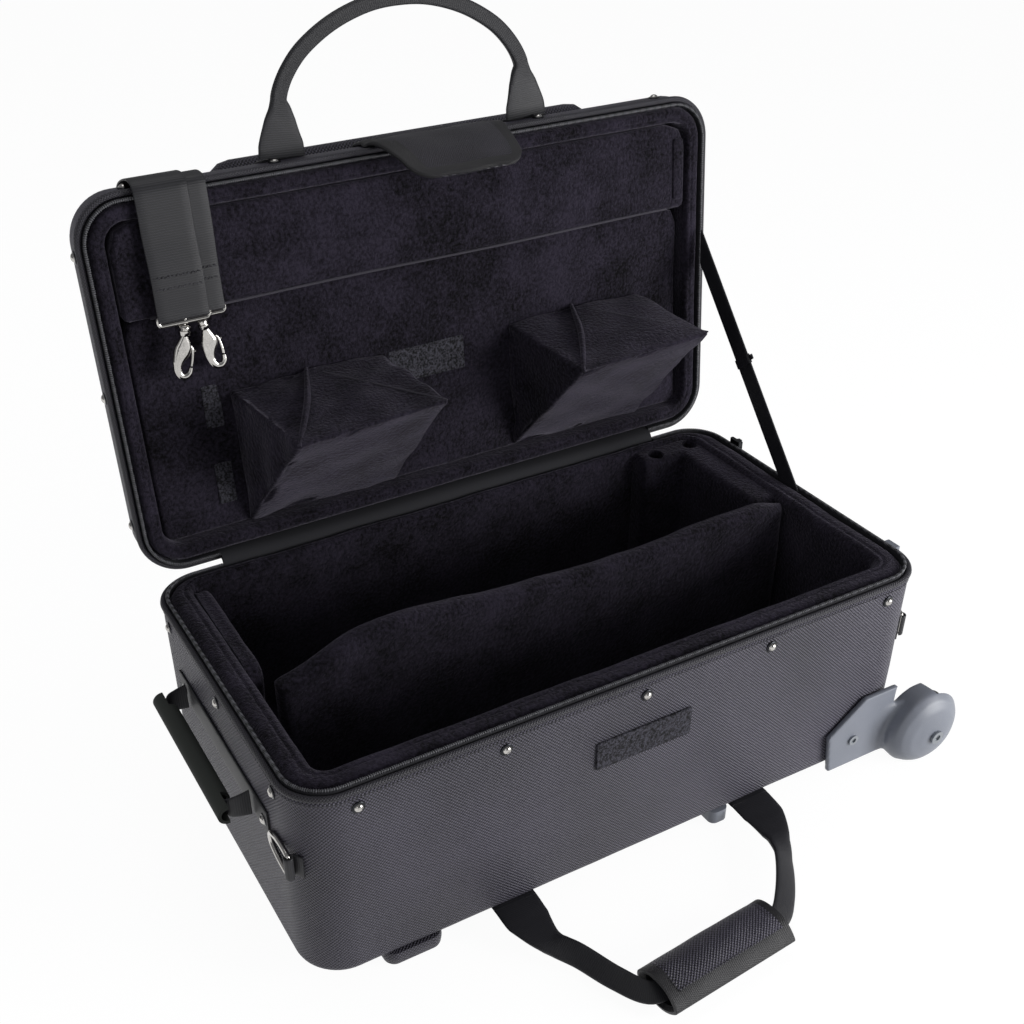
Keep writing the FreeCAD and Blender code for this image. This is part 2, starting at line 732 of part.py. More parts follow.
def base_rivets():
    """Rivets of the inner frame, round the base below the piping."""
    z = RIM_HEIGHT - RIVET_DROP
    heads = []
    for share in BASE_RIVET_SHARES:
        for side in (-1, 1):
            heads.append(rivet(vec(share * HALF_LENGTH, side * HALF_WIDTH, z), vec(0, side, 0)))
    for share in END_RIVET_SHARES:
        for side in (-1, 1):
            heads.append(rivet(vec(side * HALF_LENGTH, share * HALF_WIDTH, z), vec(side, 0, 0)))
    return Part.makeCompound(heads)


def lid_rivets():
    """Rivets round the lid."""
    z = LID_SHELL_BOTTOM + LID_RIVET_RISE
    heads = []
    for share in LID_RIVET_SHARES:
        heads.append(rivet(vec(share * HALF_LENGTH, -HALF_WIDTH, z), vec(0, -1, 0)))
    for share in END_RIVET_SHARES:
        for side in (-1, 1):
            heads.append(rivet(vec(side * HALF_LENGTH, share * HALF_WIDTH, z), vec(side, 0, 0)))
    return Part.makeCompound(heads)


def end_strip():
    """Webbing strip across the left end, under the grip."""
    half = END_STRIP_HEIGHT / 2
    return box(
        (-HALF_LENGTH - WEBBING_THICKNESS, -HALF_WIDTH + END_STRIP_FRONT_INSET, END_STRIP_Z - half),
        (-HALF_LENGTH, HALF_WIDTH - END_STRIP_BACK_INSET, END_STRIP_Z + half),
    )


def end_strip_rivets():
    """The two rivets that hold the grip's webbing."""
    x = -HALF_LENGTH - WEBBING_THICKNESS
    places = (-HALF_WIDTH + END_RIVET_FRONT_INSET, HALF_WIDTH - END_RIVET_BACK_INSET)
    return Part.makeCompound([rivet(vec(x, y, END_STRIP_Z), vec(-1, 0, 0)) for y in places])


def loop_patch():
    """Loop half of the closure, sewn to the front wall."""
    top = RIM_HEIGHT - LOOP_PATCH_TOP_DROP
    return box(
        (-LOOP_PATCH_LENGTH / 2, WALL_FRONT - PATCH_THICKNESS, top - LOOP_PATCH_HEIGHT),
        (LOOP_PATCH_LENGTH / 2, WALL_FRONT, top),
    )


def d_bar_centre():
    """Where the left D-ring's upright bar stands, outside the rounded corner."""
    angle = math.radians(D_TAB_ANGLE_DEG)
    reach = CORNER_RADIUS + D_TAB_THICKNESS + D_BAR_RADIUS + D_SLEEVE_WALL
    return vec(
        -HALF_LENGTH + CORNER_RADIUS + reach * math.cos(angle),
        -HALF_WIDTH + CORNER_RADIUS + reach * math.sin(angle),
        D_RING_Z,
    )


def d_tab():
    """Webbing tab sewn round the corner, with the sleeve that holds a D-ring's bar."""
    centre = vec(-HALF_LENGTH + CORNER_RADIUS, -HALF_WIDTH + CORNER_RADIUS, D_RING_Z - D_TAB_HEIGHT / 2)
    inner = CORNER_RADIUS
    outer = inner + FIT_GAP + D_TAB_THICKNESS
    sweep = D_TAB_END_DEG - D_TAB_START_DEG
    sector = Part.makeCylinder(outer, D_TAB_HEIGHT, centre, Z_AXIS, sweep)
    sector.rotate(centre, Z_AXIS, D_TAB_START_DEG)
    sector = sector.cut(Part.makeCylinder(inner, D_TAB_HEIGHT, centre, Z_AXIS))
    bar = d_bar_centre()
    bar.z = centre.z
    sleeve = rod(D_BAR_RADIUS + D_SLEEVE_WALL, bar, bar + Z_AXIS * D_TAB_HEIGHT)
    body = fused([sector, sleeve])
    return body.cut(rod(D_BAR_RADIUS + RUNNING_GAP, bar, bar + Z_AXIS * D_TAB_HEIGHT))


def d_ring():
    """Ring that narrows from an upright bar to its tip."""
    bar = d_bar_centre()
    half = D_RING_HEIGHT / 2
    tip = D_RING_TIP_HEIGHT / 2
    band = D_RING_BAND
    x = bar.x - D_RING_THICKNESS / 2

    def outline(grow):
        """The ring's outline, drawn in by an amount."""
        near = bar.y + grow
        far = bar.y + D_RING_REACH - grow
        return [
            vec(x, near, bar.z - half + grow),
            vec(x, far - tip, bar.z - tip - band + grow),
            vec(x, far, bar.z - tip + grow),
            vec(x, far, bar.z + tip - grow),
            vec(x, far - tip, bar.z + tip + band - grow),
            vec(x, near, bar.z + half - grow),
        ]

    run = vec(D_RING_THICKNESS, 0, 0)
    ring = prism(outline(0), run).cut(prism(outline(band), run))
    sleeve_back = bar.y + D_BAR_RADIUS + D_SLEEVE_WALL
    gap = box(
        (x - OVERRUN, bar.y - OVERRUN, bar.z - D_TAB_HEIGHT / 2 - FIT_GAP),
        (x + OVERRUN * 2, sleeve_back + FIT_GAP * 2, bar.z + D_TAB_HEIGHT / 2 + FIT_GAP),
    )
    upright = rod(D_BAR_RADIUS, bar - Z_AXIS * (half - band / 2), bar + Z_AXIS * (half - band / 2))
    return fused([ring.cut(gap), upright])


def wheel_axis(side, y):
    """A point on a wheel's axis; side is -1 at the front and 1 at the back."""
    return vec(WHEEL_X, side * y, WHEEL_Z)


def cap(radius, rise, base):
    """A shallow stepped dome standing on the plane y = -base, about the front wheel's axis."""
    return revolve_y(
        [
            (0, -base),
            (radius, -base),
            (radius * DOME_RADIUS_SHARE, -base - rise * DOME_RISE_SHARE),
            (radius * DOME_TOP_SHARE, -base - rise),
            (0, -base - rise),
        ],
        WHEEL_X, WHEEL_Z,
    )


def plate_outline(grow):
    """Chamfered outline of the bracket's wall plate, drawn in by an amount."""
    left = WHEEL_X - PLATE_LEFT + grow
    right = WHEEL_X - PLATE_RIGHT - grow
    top = WHEEL_Z + PLATE_TOP - grow
    bottom = WHEEL_Z - PLATE_BOTTOM + grow
    y = WALL_FRONT - FIT_GAP
    return [
        vec(left + PLATE_LOW_TAPER, y, bottom),
        vec(right - PLATE_LOW_TAPER, y, bottom),
        vec(right, y, top),
        vec(left + PLATE_TOP_CHAMFER, y, top),
        vec(left, y, top - PLATE_SIDE_DROP),
    ]


def wheel_bracket():
    """Moulded bracket: wall plate, wrap-under flange, axle arm, fender and domed cover."""
    outward = vec(0, -1, 0)
    wall = HALF_WIDTH + FIT_GAP
    plate = prism(plate_outline(0), outward * PLATE_THICKNESS)
    recess = prism(plate_outline(PLATE_BORDER), outward * PLATE_THICKNESS)
    recess.translate(outward * (PLATE_THICKNESS - PLATE_RECESS))
    boss = rod(
        PLATE_BOLT_RADIUS + PLATE_BORDER / 2,
        bracket_bolt_place(wall),
        bracket_bolt_place(wall + PLATE_THICKNESS),
    )
    plate = plate.cut(recess).fuse(boss)
    room_radius = WHEEL_RADIUS + FENDER_GAP
    wheel_room = rod(room_radius, wheel_axis(-1, wall + ARM_THICKNESS), wheel_axis(-1, COVER_TOP))
    plate = plate.cut(wheel_room)
    bottom = WHEEL_Z - PLATE_BOTTOM
    flange = box(
        (WHEEL_X - PLATE_LEFT + PLATE_LOW_TAPER, -wall - PLATE_THICKNESS / 2, bottom),
        (HALF_LENGTH - CORNER_RADIUS, -wall + FLANGE_DEPTH, GROUND_GAP - FIT_GAP),
    )
    arm_end = rod(ARM_RADIUS, wheel_axis(-1, wall), wheel_axis(-1, wall + ARM_THICKNESS))
    arm = box(
        (WHEEL_X - WHEEL_RADIUS - PLATE_BORDER, -wall - ARM_THICKNESS, WHEEL_Z - ARM_RADIUS),
        (WHEEL_X, -wall, WHEEL_Z + ARM_RADIUS),
    )
    inner = WHEEL_RADIUS + FENDER_GAP
    outer = inner + FENDER_WALL
    cover_face = COVER_BASE + COVER_WALL
    lip = inner - FENDER_LIP
    fender = revolve_y(
        [
            (inner, -wall),
            (outer, -wall),
            (outer, -cover_face + FENDER_WALL),
            (outer - FENDER_WALL / 2, -cover_face + FENDER_WALL / 3),
            (outer - FENDER_WALL, -cover_face),
            (lip, -cover_face),
            (lip, -COVER_BASE),
            (inner, -COVER_BASE),
        ],
        WHEEL_X, WHEEL_Z, FENDER_START_DEG, FENDER_END_DEG - FENDER_START_DEG,
    )
    rim = rod(COVER_RADIUS, wheel_axis(-1, COVER_BASE), wheel_axis(-1, cover_face))
    dome = cap(COVER_RADIUS, COVER_RISE, cover_face)
    hollow = cap(COVER_RADIUS - COVER_WALL, COVER_RISE, COVER_BASE)
    seat = rod(COVER_SEAT_RADIUS, wheel_axis(-1, COVER_BASE), wheel_axis(-1, COVER_TOP))
    cover = rim.fuse(dome).cut(hollow).fuse(seat)
    body = plate
    for piece in (flange, arm, arm_end, fender, cover):
        body = body.fuse(piece)
    bore_radius = AXLE_RADIUS + RUNNING_GAP
    body = body.cut(rod(bore_radius, wheel_axis(-1, wall - OVERRUN), wheel_axis(-1, COVER_TOP + OVERRUN)))
    start = bracket_bolt_place(wall - OVERRUN)
    end = bracket_bolt_place(wall + PLATE_THICKNESS + OVERRUN)
    return body.cut(rod(AXLE_RADIUS, start, end)).removeSplitter()


def bracket_bolt_place(y):
    """A point on the bracket bolt's axis."""
    return vec(WHEEL_X - PLATE_BOLT_BACK, -y, WHEEL_Z + PLATE_BOLT_RISE)


def bracket_bolt():
    """Round socket-headed bolt through the bracket's plate."""
    face = HALF_WIDTH + FIT_GAP + PLATE_THICKNESS
    head = rod(PLATE_BOLT_RADIUS, bracket_bolt_place(face), bracket_bolt_place(face + PLATE_BOLT_HEIGHT))
    socket = rod(
        PLATE_BOLT_SOCKET,
        bracket_bolt_place(face + PLATE_BOLT_HEIGHT / 2),
        bracket_bolt_place(face + PLATE_BOLT_HEIGHT + OVERRUN),
    )
    start = bracket_bolt_place(HALF_WIDTH + FIT_GAP)
    shank = rod(AXLE_RADIUS - RUNNING_GAP, start, bracket_bolt_place(face))
    return fused([head, shank]).cut(socket)


def axle_bolt():
    """Axle: bolt from the cover through the wheel to a nut behind the arm."""
    wall = HALF_WIDTH + FIT_GAP
    head = rod(AXLE_HEAD_RADIUS, wheel_axis(-1, COVER_TOP), wheel_axis(-1, COVER_TOP + AXLE_HEAD_HEIGHT))
    socket = rod(
        AXLE_RADIUS,
        wheel_axis(-1, COVER_TOP + AXLE_HEAD_HEIGHT / 2),
        wheel_axis(-1, COVER_TOP + AXLE_HEAD_HEIGHT + OVERRUN),
    )
    shaft = rod(AXLE_RADIUS, wheel_axis(-1, wall - NUT_HEIGHT), wheel_axis(-1, COVER_TOP))
    nut = rod(NUT_RADIUS, wheel_axis(-1, wall - NUT_HEIGHT), wheel_axis(-1, wall))
    return fused([head, shaft, nut]).cut(socket)


def tyre():
    """Rubber tyre with rounded shoulders."""
    inner = -WHEEL_INNER
    outer = -WHEEL_OUTER
    return revolve_y(
        [
            (RIM_RADIUS + RUNNING_GAP, inner),
            (WHEEL_RADIUS - TYRE_ROUND, inner),
            (WHEEL_RADIUS, inner - TYRE_ROUND),
            (WHEEL_RADIUS, outer + TYRE_ROUND),
            (WHEEL_RADIUS - TYRE_ROUND, outer),
            (RIM_RADIUS + RUNNING_GAP, outer),
        ],
        WHEEL_X, WHEEL_Z,
    )


def hub():
    """Moulded hub with a web, a boss and round lightening holes."""
    middle = (WHEEL_INNER + WHEEL_OUTER) / 2
    rim = HUB_WIDTH / 2
    web = HUB_WEB / 2
    boss = TYRE_WIDTH / 2
    bore = AXLE_RADIUS + RUNNING_GAP
    inner_rim = RIM_RADIUS - HUB_RIM_WALL
    body = revolve_y(
        [
            (bore, -middle - boss),
            (HUB_BOSS_RADIUS, -middle - boss),
            (HUB_BOSS_RADIUS, -middle - web),
            (inner_rim, -middle - web),
            (inner_rim, -middle - rim),
            (RIM_RADIUS, -middle - rim),
            (RIM_RADIUS, -middle + rim),
            (inner_rim, -middle + rim),
            (inner_rim, -middle + web),
            (HUB_BOSS_RADIUS, -middle + web),
            (HUB_BOSS_RADIUS, -middle + boss),
            (bore, -middle + boss),
        ],
        WHEEL_X, WHEEL_Z,
    )
    ring = (HUB_BOSS_RADIUS + inner_rim) / 2
    for index in range(HUB_HOLE_COUNT):
        angle = 2 * math.pi * index / HUB_HOLE_COUNT
        x = WHEEL_X + ring * math.cos(angle)
        z = WHEEL_Z + ring * math.sin(angle)
        outline = regular_outline(vec(x, -WHEEL_INNER, z), Y_AXIS, HUB_HOLE_RADIUS, HUB_HOLE_SIDES)
        body = body.cut(Part.Face(outline).extrude(vec(0, WHEEL_INNER - WHEEL_OUTER, 0)))
    return body


def stand_foot():
    """Leg that lets the case stand on its wheeled end, level with the wheels."""
    wall = HALF_LENGTH
    half = STAND_FOOT_WIDTH / 2
    y = STAND_FOOT_Y - half
    leg = prism(
        [
            vec(wall, y, STAND_FOOT_TOP),
            vec(wall, y, STAND_FOOT_TOP - STAND_FOOT_HEIGHT),
            vec(CASE_REACH, y, STAND_FOOT_TOP - STAND_FOOT_TIP_HEIGHT),
            vec(CASE_REACH, y, STAND_FOOT_TOP),
        ],
        vec(0, STAND_FOOT_WIDTH, 0),
    )
    tip = [edge for edge in leg.Edges if edge.BoundBox.XMin > CASE_REACH - FIT_GAP]
    leg = leg.makeFillet(STAND_FOOT_ROUND, tip)
    middle = STAND_FOOT_TOP - STAND_FOOT_HEIGHT / 2
    flange_half = STAND_FLANGE_WIDTH / 2
    flange = box(
        (wall, STAND_FOOT_Y - flange_half, middle - STAND_FLANGE_HEIGHT / 2),
        (wall + STAND_FLANGE_THICKNESS, STAND_FOOT_Y + flange_half, middle + STAND_FLANGE_HEIGHT / 2),
    )
    return fused([leg, flange])


def grey_foot():
    """Plastic foot under the front edge."""
    foot = rounded_block(
        (GREY_FOOT_X - GREY_FOOT_LENGTH / 2, WALL_FRONT, 0),
        (GREY_FOOT_X + GREY_FOOT_LENGTH / 2, WALL_FRONT + FOOT_WIDTH, GROUND_GAP - FIT_GAP),
        GREY_FOOT_ROUND * 2,
    )
    return bevel(foot, GREY_FOOT_ROUND, 0)


def fabric_foot():
    """Fabric-covered foot under the front edge."""
    foot = rounded_block(
        (FABRIC_FOOT_X - FABRIC_FOOT_LENGTH / 2, WALL_FRONT, 0),
        (FABRIC_FOOT_X + FABRIC_FOOT_LENGTH / 2, WALL_FRONT + FOOT_WIDTH, GROUND_GAP - FIT_GAP),
        FABRIC_FOOT_ROUND + GREY_FOOT_ROUND,
    )
    return bevel(foot, FABRIC_FOOT_ROUND, 0)


def handle_anchors():
    """Webbing sewn under the base, from which the carrying handle starts."""
    half = BASE_STRAP_WIDTH / 2
    front = BASE_PIVOT_Y + BASE_ROLL_RADIUS + FIT_GAP
    back = WALL_FRONT + BOTTOM_ROUND + ANCHOR_LENGTH
    straps = []
    for x in (BASE_STRAP_LEFT_X, BASE_STRAP_RIGHT_X):
        straps.append(box(
            (x - half, front, BASE_PIVOT_Z - WEBBING_THICKNESS / 2),
            (x + half, back, GROUND_GAP),
        ))
    return Part.makeCompound(straps)


def section_x(x_left, x_right, y, z, thickness):
    """A level rectangular section across a strap, at one y."""
    low = z - thickness / 2
    high = z + thickness / 2
    return Part.makePolygon([
        vec(x_left, y, low), vec(x_right, y, low), vec(x_right, y, high), vec(x_left, y, high),
        vec(x_left, y, low),
    ])


def wrap_end(side):
    """Centre of the padded wrap's left (-1) or right (1) end."""
    if side < 0:
        return vec(WRAP_LEFT_X, WRAP_LEFT_Y, WRAP_Z)
    return vec(WRAP_RIGHT_X, WRAP_RIGHT_Y, WRAP_Z)


def upright_section(centre, across, width, height):
    """A rectangular section whose width lies along a level direction."""
    side = across * (width / 2)
    up = Z_AXIS * (height / 2)
    corners = [centre - side - up, centre + side - up, centre + side + up, centre - side + up]
    return Part.makePolygon(corners + [corners[0]])


def base_handle_straps():
    """The two straps of the carrying handle and the core that runs through the wrap."""
    along = (wrap_end(1) - wrap_end(-1)).normalize()
    solids = []
    layout = (
        (-1, BASE_STRAP_LEFT_X, BASE_FOLD_Y_LEFT),
        (1, BASE_STRAP_RIGHT_X, BASE_FOLD_Y_RIGHT),
    )
    for side, x, fold_y in layout:
        fold_x = x - side * BASE_STRAP_FOLDED / 3
        fold = vec(fold_x, fold_y, WRAP_Z)
        end = wrap_end(side)
        heading = (end - fold).normalize()
        across = vec(-heading.y, heading.x, 0) * -side
        half = BASE_STRAP_WIDTH / 2
        folded = BASE_STRAP_FOLDED / 2
        lying_y = BASE_PIVOT_Y - BASE_STRAP_REACH / 2
        sections = [
            section_x(x - half, x + half, BASE_PIVOT_Y, BASE_PIVOT_Z, WEBBING_THICKNESS),
            section_x(x - half, x + half, lying_y, BASE_PIVOT_Z, BASE_STRAP_THICKNESS),
            section_x(fold_x - folded, fold_x + folded, fold_y, WRAP_Z, WRAP_CORE_HEIGHT),
        ]
        first = Part.makeLoft(sections, True, True)
        pivot = vec(x, BASE_PIVOT_Y, BASE_PIVOT_Z)
        root = rod(BASE_ROLL_RADIUS, pivot - X_AXIS * half, pivot + X_AXIS * half)
        turn = end + heading * OVERRUN
        second = Part.makeLoft([
            section_x(fold_x - folded, fold_x + folded, fold_y, WRAP_Z, WRAP_CORE_HEIGHT),
            upright_section(turn, across, WRAP_CORE_WIDTH, WRAP_CORE_HEIGHT),
        ], True, True)
        solids += [root, first, second]
    cross = vec(-along.y, along.x, 0)
    core = Part.makeLoft([
        upright_section(wrap_end(-1), cross, WRAP_CORE_WIDTH, WRAP_CORE_HEIGHT),
        upright_section(wrap_end(1), cross, WRAP_CORE_WIDTH, WRAP_CORE_HEIGHT),
    ], True, True)
    return fused(solids + [core])


def oval_section(centre, across, width, height):
    """A flattened oval section made of four arcs."""
    side = across * (width / 2)
    up = Z_AXIS * (height / 2)
    lean = math.sqrt(0.5) * WRAP_FULLNESS_SHARE
    arcs = []
    for first, second in ((side, up), (up, -side), (-side, -up), (-up, side)):
        middle = centre + (first + second) * lean
        arcs.append(Part.Arc(centre + first, middle, centre + second).toShape())
    return Part.Wire(arcs)


def handle_wrap():
    """Padded wrap round the carrying handle's webbing, open at both ends."""
    along = (wrap_end(1) - wrap_end(-1)).normalize()
    cross = vec(-along.y, along.x, 0)
    first = wrap_end(-1) + along * WRAP_END_MARGIN
    run = wrap_end(1) - along * WRAP_END_MARGIN - first
    outer = Part.Face(oval_section(first, cross, WRAP_WIDTH, WRAP_HEIGHT)).extrude(run)
    start = first - along * OVERRUN
    slot = upright_section(start, cross, WRAP_CORE_WIDTH + FIT_GAP * 2, WRAP_CORE_HEIGHT + FIT_GAP * 2)
    inner = Part.Face(slot).extrude(run + along * (OVERRUN * 2))
    return outer.cut(inner)


def lid_handle_anchors():
    """Webbing sewn up the lid's front wall at both ends of the lid handle."""
    half = LID_STRAP_WIDTH / 2
    z = RIM_HEIGHT + LID_HANDLE_D
    straps = []
    for x in (-LID_HANDLE_HALF, LID_HANDLE_HALF):
        straps.append(box(
            (x - half, WALL_FRONT - LID_ANCHOR_THICKNESS, z + LID_ANCHOR_START),
            (x + half, WALL_FRONT, z + LID_ANCHOR_START + LID_ANCHOR_HEIGHT),
        ))
    return Part.makeCompound(straps)


def lid_handle():
    """Webbing arch on the lid's front wall, folded narrow along its middle."""
    z = RIM_HEIGHT + LID_HANDLE_D
    root = WALL_FRONT - LID_HANDLE_PIVOT_OUT
    half = LID_STRAP_WIDTH / 2
    folded = LID_STRAP_FOLDED / 2
    places = []
    for x_share, y_share in zip(LID_HANDLE_X_SHARES, LID_HANDLE_Y_SHARES):
        places.append(vec(LID_HANDLE_HALF * x_share, WALL_FRONT - LID_HANDLE_REACH * y_share, z))
    right = [vec(place.x, place.y, z) for place in places]
    left = [vec(-place.x, place.y, z) for place in reversed(places)]
    chain = right + left
    sections = []
    for index, place in enumerate(chain):
        before = chain[max(index - 1, 0)]
        after = chain[min(index + 1, len(chain) - 1)]
        heading = (after - before).normalize()
        across = vec(-heading.y, heading.x, 0)
        sections.append(upright_section(place, across, LID_STRAP_THICKNESS, LID_STRAP_FOLDED))
    arch = Part.makeLoft(sections, True, True)
    feet = []
    for side in (-1, 1):
        x = side * LID_HANDLE_HALF
        pinch = right[0] if side > 0 else left[-1]
        heading = ((right[1] if side > 0 else left[-2]) - pinch).normalize()
        across = vec(-heading.y, heading.x, 0) * -side
        tip = pinch + heading * LID_STRAP_THICKNESS
        last = upright_section(tip, X_AXIS, LID_STRAP_THICKNESS * 2, LID_STRAP_FOLDED)
        feet.append(rod(LID_ROLL_RADIUS, vec(x - half, root, z), vec(x + half, root, z)))
        feet.append(Part.makeLoft([
            section_x(x - half, x + half, root, z, WEBBING_THICKNESS),
            section_x(x - folded, x + folded, root - LID_HANDLE_PINCH / 2, z, LID_STRAP_FOLDED / 2),
            last,
        ], True, True))
    return fused([arch] + feet)


def flap_root():
    """Sewn root of the closure flap on the lid's front wall."""
    z = RIM_HEIGHT + FLAP_ROOT_D
    half = FLAP_ROOT_WIDTH / 2
    return box(
        (FLAP_X - half, WALL_FRONT - PATCH_THICKNESS, z + FLAP_THICKNESS),
        (FLAP_X + half, WALL_FRONT, z + FLAP_ROOT_HEIGHT),
    )


def flap_pivot():
    """A point on the line about which the flap bends."""
    return vec(0, WALL_FRONT - FLAP_PIVOT_OUT, RIM_HEIGHT + FLAP_ROOT_D)


def closure_flap():
    """Closure flap, bowed over the rim, as it hangs from the open lid."""
    pivot = flap_pivot()
    half = FLAP_THICKNESS / 2
    root = FLAP_ROOT_WIDTH / 2
    tip = FLAP_TIP_WIDTH / 2
    top = vec(0, pivot.y, pivot.z)
    bulge = vec(0, pivot.y - FLAP_BULGE, pivot.z - FLAP_LENGTH * FLAP_BULGE_SHARE)
    end = vec(0, pivot.y - FLAP_TIP_OUT, pivot.z - FLAP_LENGTH)
    shift = vec(0, half, 0)
    profile = Part.Wire([
        Part.Arc(top - shift, bulge - shift, end - shift).toShape(),
        Part.makeLine(end - shift, end + shift),
        Part.Arc(end + shift, bulge + shift, top + shift).toShape(),
        Part.makeLine(top + shift, top - shift),
    ])
    sheet = Part.Face(profile).extrude(vec(FLAP_ROOT_WIDTH, 0, 0))
    sheet.translate(vec(FLAP_X - root, 0, 0))
    outline = prism(
        [
            vec(FLAP_X - root, -HALF_WIDTH * 2, pivot.z + OVERRUN),
            vec(FLAP_X + root, -HALF_WIDTH * 2, pivot.z + OVERRUN),
            vec(FLAP_X + root, -HALF_WIDTH * 2, pivot.z - FLAP_LENGTH * FLAP_BULGE_SHARE),
            vec(FLAP_X + tip, -HALF_WIDTH * 2, pivot.z - FLAP_LENGTH - OVERRUN),
            vec(FLAP_X - tip, -HALF_WIDTH * 2, pivot.z - FLAP_LENGTH - OVERRUN),
            vec(FLAP_X - root, -HALF_WIDTH * 2, pivot.z - FLAP_LENGTH * FLAP_BULGE_SHARE),
        ],
        vec(0, HALF_WIDTH * 2, 0),
    )
    middle = vec(FLAP_X, pivot.y, pivot.z)
    roll = rod(FLAP_PIVOT_OUT - FIT_GAP, middle - X_AXIS * root, middle + X_AXIS * root)
    flap = fused([sheet.common(outline), roll])
    flap.rotate(pivot, X_AXIS, FLAP_SWING_DEG)
    return flap


def grip_tube():
    """Rubber tube of the end grip, cut away on its inner side at both ends."""
    start = vec(GRIP_X, GRIP_FRONT, END_STRIP_Z)
    end = vec(GRIP_X, GRIP_BACK, END_STRIP_Z)
    tube = rod(GRIP_RADIUS, start, end).cut(rod(GRIP_BORE, start, end))
    notches = (
        (GRIP_FRONT - OVERRUN, GRIP_FRONT + GRIP_NOTCH_LENGTH),
        (GRIP_BACK - GRIP_NOTCH_LENGTH, GRIP_BACK + OVERRUN),
    )
    for low, high in notches:
        notch = box(
            (GRIP_X + GRIP_CORE_WIDTH / 4, low, END_STRIP_Z - GRIP_RADIUS - OVERRUN),
            (GRIP_X + GRIP_RADIUS + OVERRUN, high, END_STRIP_Z + GRIP_RADIUS + OVERRUN),
        )
        tube = tube.cut(notch)
    return tube


def grip_webbing():
    """Webbing through the end grip, turned back to the wall at both ends."""
    half = GRIP_CORE_HEIGHT / 2
    core_half = GRIP_CORE_WIDTH / 2
    front = GRIP_FRONT + GRIP_LEG_INSET
    back = GRIP_BACK - GRIP_LEG_INSET
    pivot = -(HALF_LENGTH + GRIP_PIVOT_OUT)
    root = GRIP_PIVOT_OUT - WEBBING_THICKNESS - FIT_GAP
    core_low = (GRIP_X - core_half, front, END_STRIP_Z - half)
    pieces = [box(core_low, (GRIP_X + core_half, back, END_STRIP_Z + half))]
    for low, high in ((front, front + GRIP_LEG_WIDTH), (back - GRIP_LEG_WIDTH, back)):
        pieces.append(box((GRIP_X, low, END_STRIP_Z - half), (pivot, high, END_STRIP_Z + half)))
        pieces.append(rod(root, vec(pivot, low, END_STRIP_Z), vec(pivot, high, END_STRIP_Z)))
    return fused(pieces)


def slider_places():
    """Low corner of the zip slider, outside the right end's zip."""
    x = HALF_LENGTH - TAPE_INSET + FIT_GAP
    return vec(x, SLIDER_Y - SLIDER_LENGTH / 2, RIM_HEIGHT - SLIDER_HEIGHT / 2)


def zip_slider():
    """Slider body with the lug that its pull hangs from."""
    low = slider_places()
    body = rounded_block(
        (low.x, low.y, low.z),
        (low.x + SLIDER_WIDTH, low.y + SLIDER_LENGTH, low.z + SLIDER_HEIGHT),
        SLIDER_WIDTH / 3,
    )
    pin = pull_pin()
    lug_half = PULL_WIDTH / 4
    lug = box(
        (low.x + SLIDER_WIDTH - FIT_GAP, pin.y - lug_half, pin.z - PULL_PIN_RADIUS * 2),
        (pin.x + PULL_PIN_RADIUS * 2, pin.y + lug_half, pin.z + PULL_PIN_RADIUS * 2),
    )
    hole = rod(PULL_PIN_RADIUS + RUNNING_GAP, pin - Y_AXIS * PULL_WIDTH, pin + Y_AXIS * PULL_WIDTH)
    return fused([body, lug]).cut(hole)


def pull_pin():
    """Centre of the pin that the pull turns on."""
    low = slider_places()
    return vec(
        low.x + SLIDER_WIDTH + PULL_PIN_RADIUS * 3,
        low.y + SLIDER_LENGTH / 2,
        low.z + SLIDER_HEIGHT / 2,
    )


def zip_pull():
    """Pull tab with its pin, hanging outside the wall."""
    pin = pull_pin()
    half = PULL_WIDTH / 2
    thick = PULL_THICKNESS / 2
    tab_low = (pin.x - thick, pin.y - half, pin.z - PULL_LENGTH)
    tab = box(tab_low, (pin.x + thick, pin.y + half, pin.z + thick))
    lug_room = box(
        (pin.x - OVERRUN, pin.y - PULL_WIDTH / 4 - FIT_GAP, pin.z - PULL_PIN_RADIUS * 4),
        (pin.x + OVERRUN, pin.y + PULL_WIDTH / 4 + FIT_GAP, pin.z + OVERRUN),
    )
    axle = rod(PULL_PIN_RADIUS, pin - Y_AXIS * half, pin + Y_AXIS * half)
    return fused([tab.cut(lug_room), axle])


def strip_along(points, x, width, thickness):
    """A ribbon of flat runs through points of one plane square to X."""
    offset_points = []
    for index, place in enumerate(points):
        before = points[max(index - 1, 0)]
        after = points[min(index + 1, len(points) - 1)]
        heads = []
        for first, second in ((before, place), (place, after)):
            if (second - first).Length > 0:
                heads.append((second - first).normalize())
        mean = (heads[0] + heads[-1]).normalize()
        normal = vec(0, -mean.z, mean.y)
        offset_points.append(place + normal * (thickness / mean.dot(heads[0])))
    outline = [vec(x - width / 2, p.y, p.z) for p in points + offset_points[::-1]]
    return prism(outline, vec(width, 0, 0))


def sling_strap():
    """Both layers of the sling's webbing, thrown over the top edge of the open lid."""
    top = SLING_BEHIND_Z
    hang = SLING_OVER_Y + SLING_HANG
    lip = CORNER_RADIUS / 3
    runs = []
    layers = ((SLING_FRONT_X, SLING_FRONT_D, 0), (SLING_REAR_X, SLING_REAR_D, SLING_LAYER_PITCH))
    for x, depth, tuck in layers:
        near = RIM_HEIGHT + depth
        over = SLING_OVER_Y + tuck
        back = top - tuck
        rim = RIM_HEIGHT - FIT_GAP - SLING_LAYER_PITCH + tuck
        runs.append(strip_along([
            vec(0, SLING_TURN_Y, near),
            vec(0, CAVITY_FRONT + LINING_ROUND * 2, rim),
            vec(0, over + lip / 2, rim),
            vec(0, over, rim + lip / 2),
            vec(0, over, back - lip),
            vec(0, over + lip, back),
            vec(0, hang, back),
        ], x, SLING_WIDTH, SLING_THICKNESS))
    return Part.makeCompound(runs)


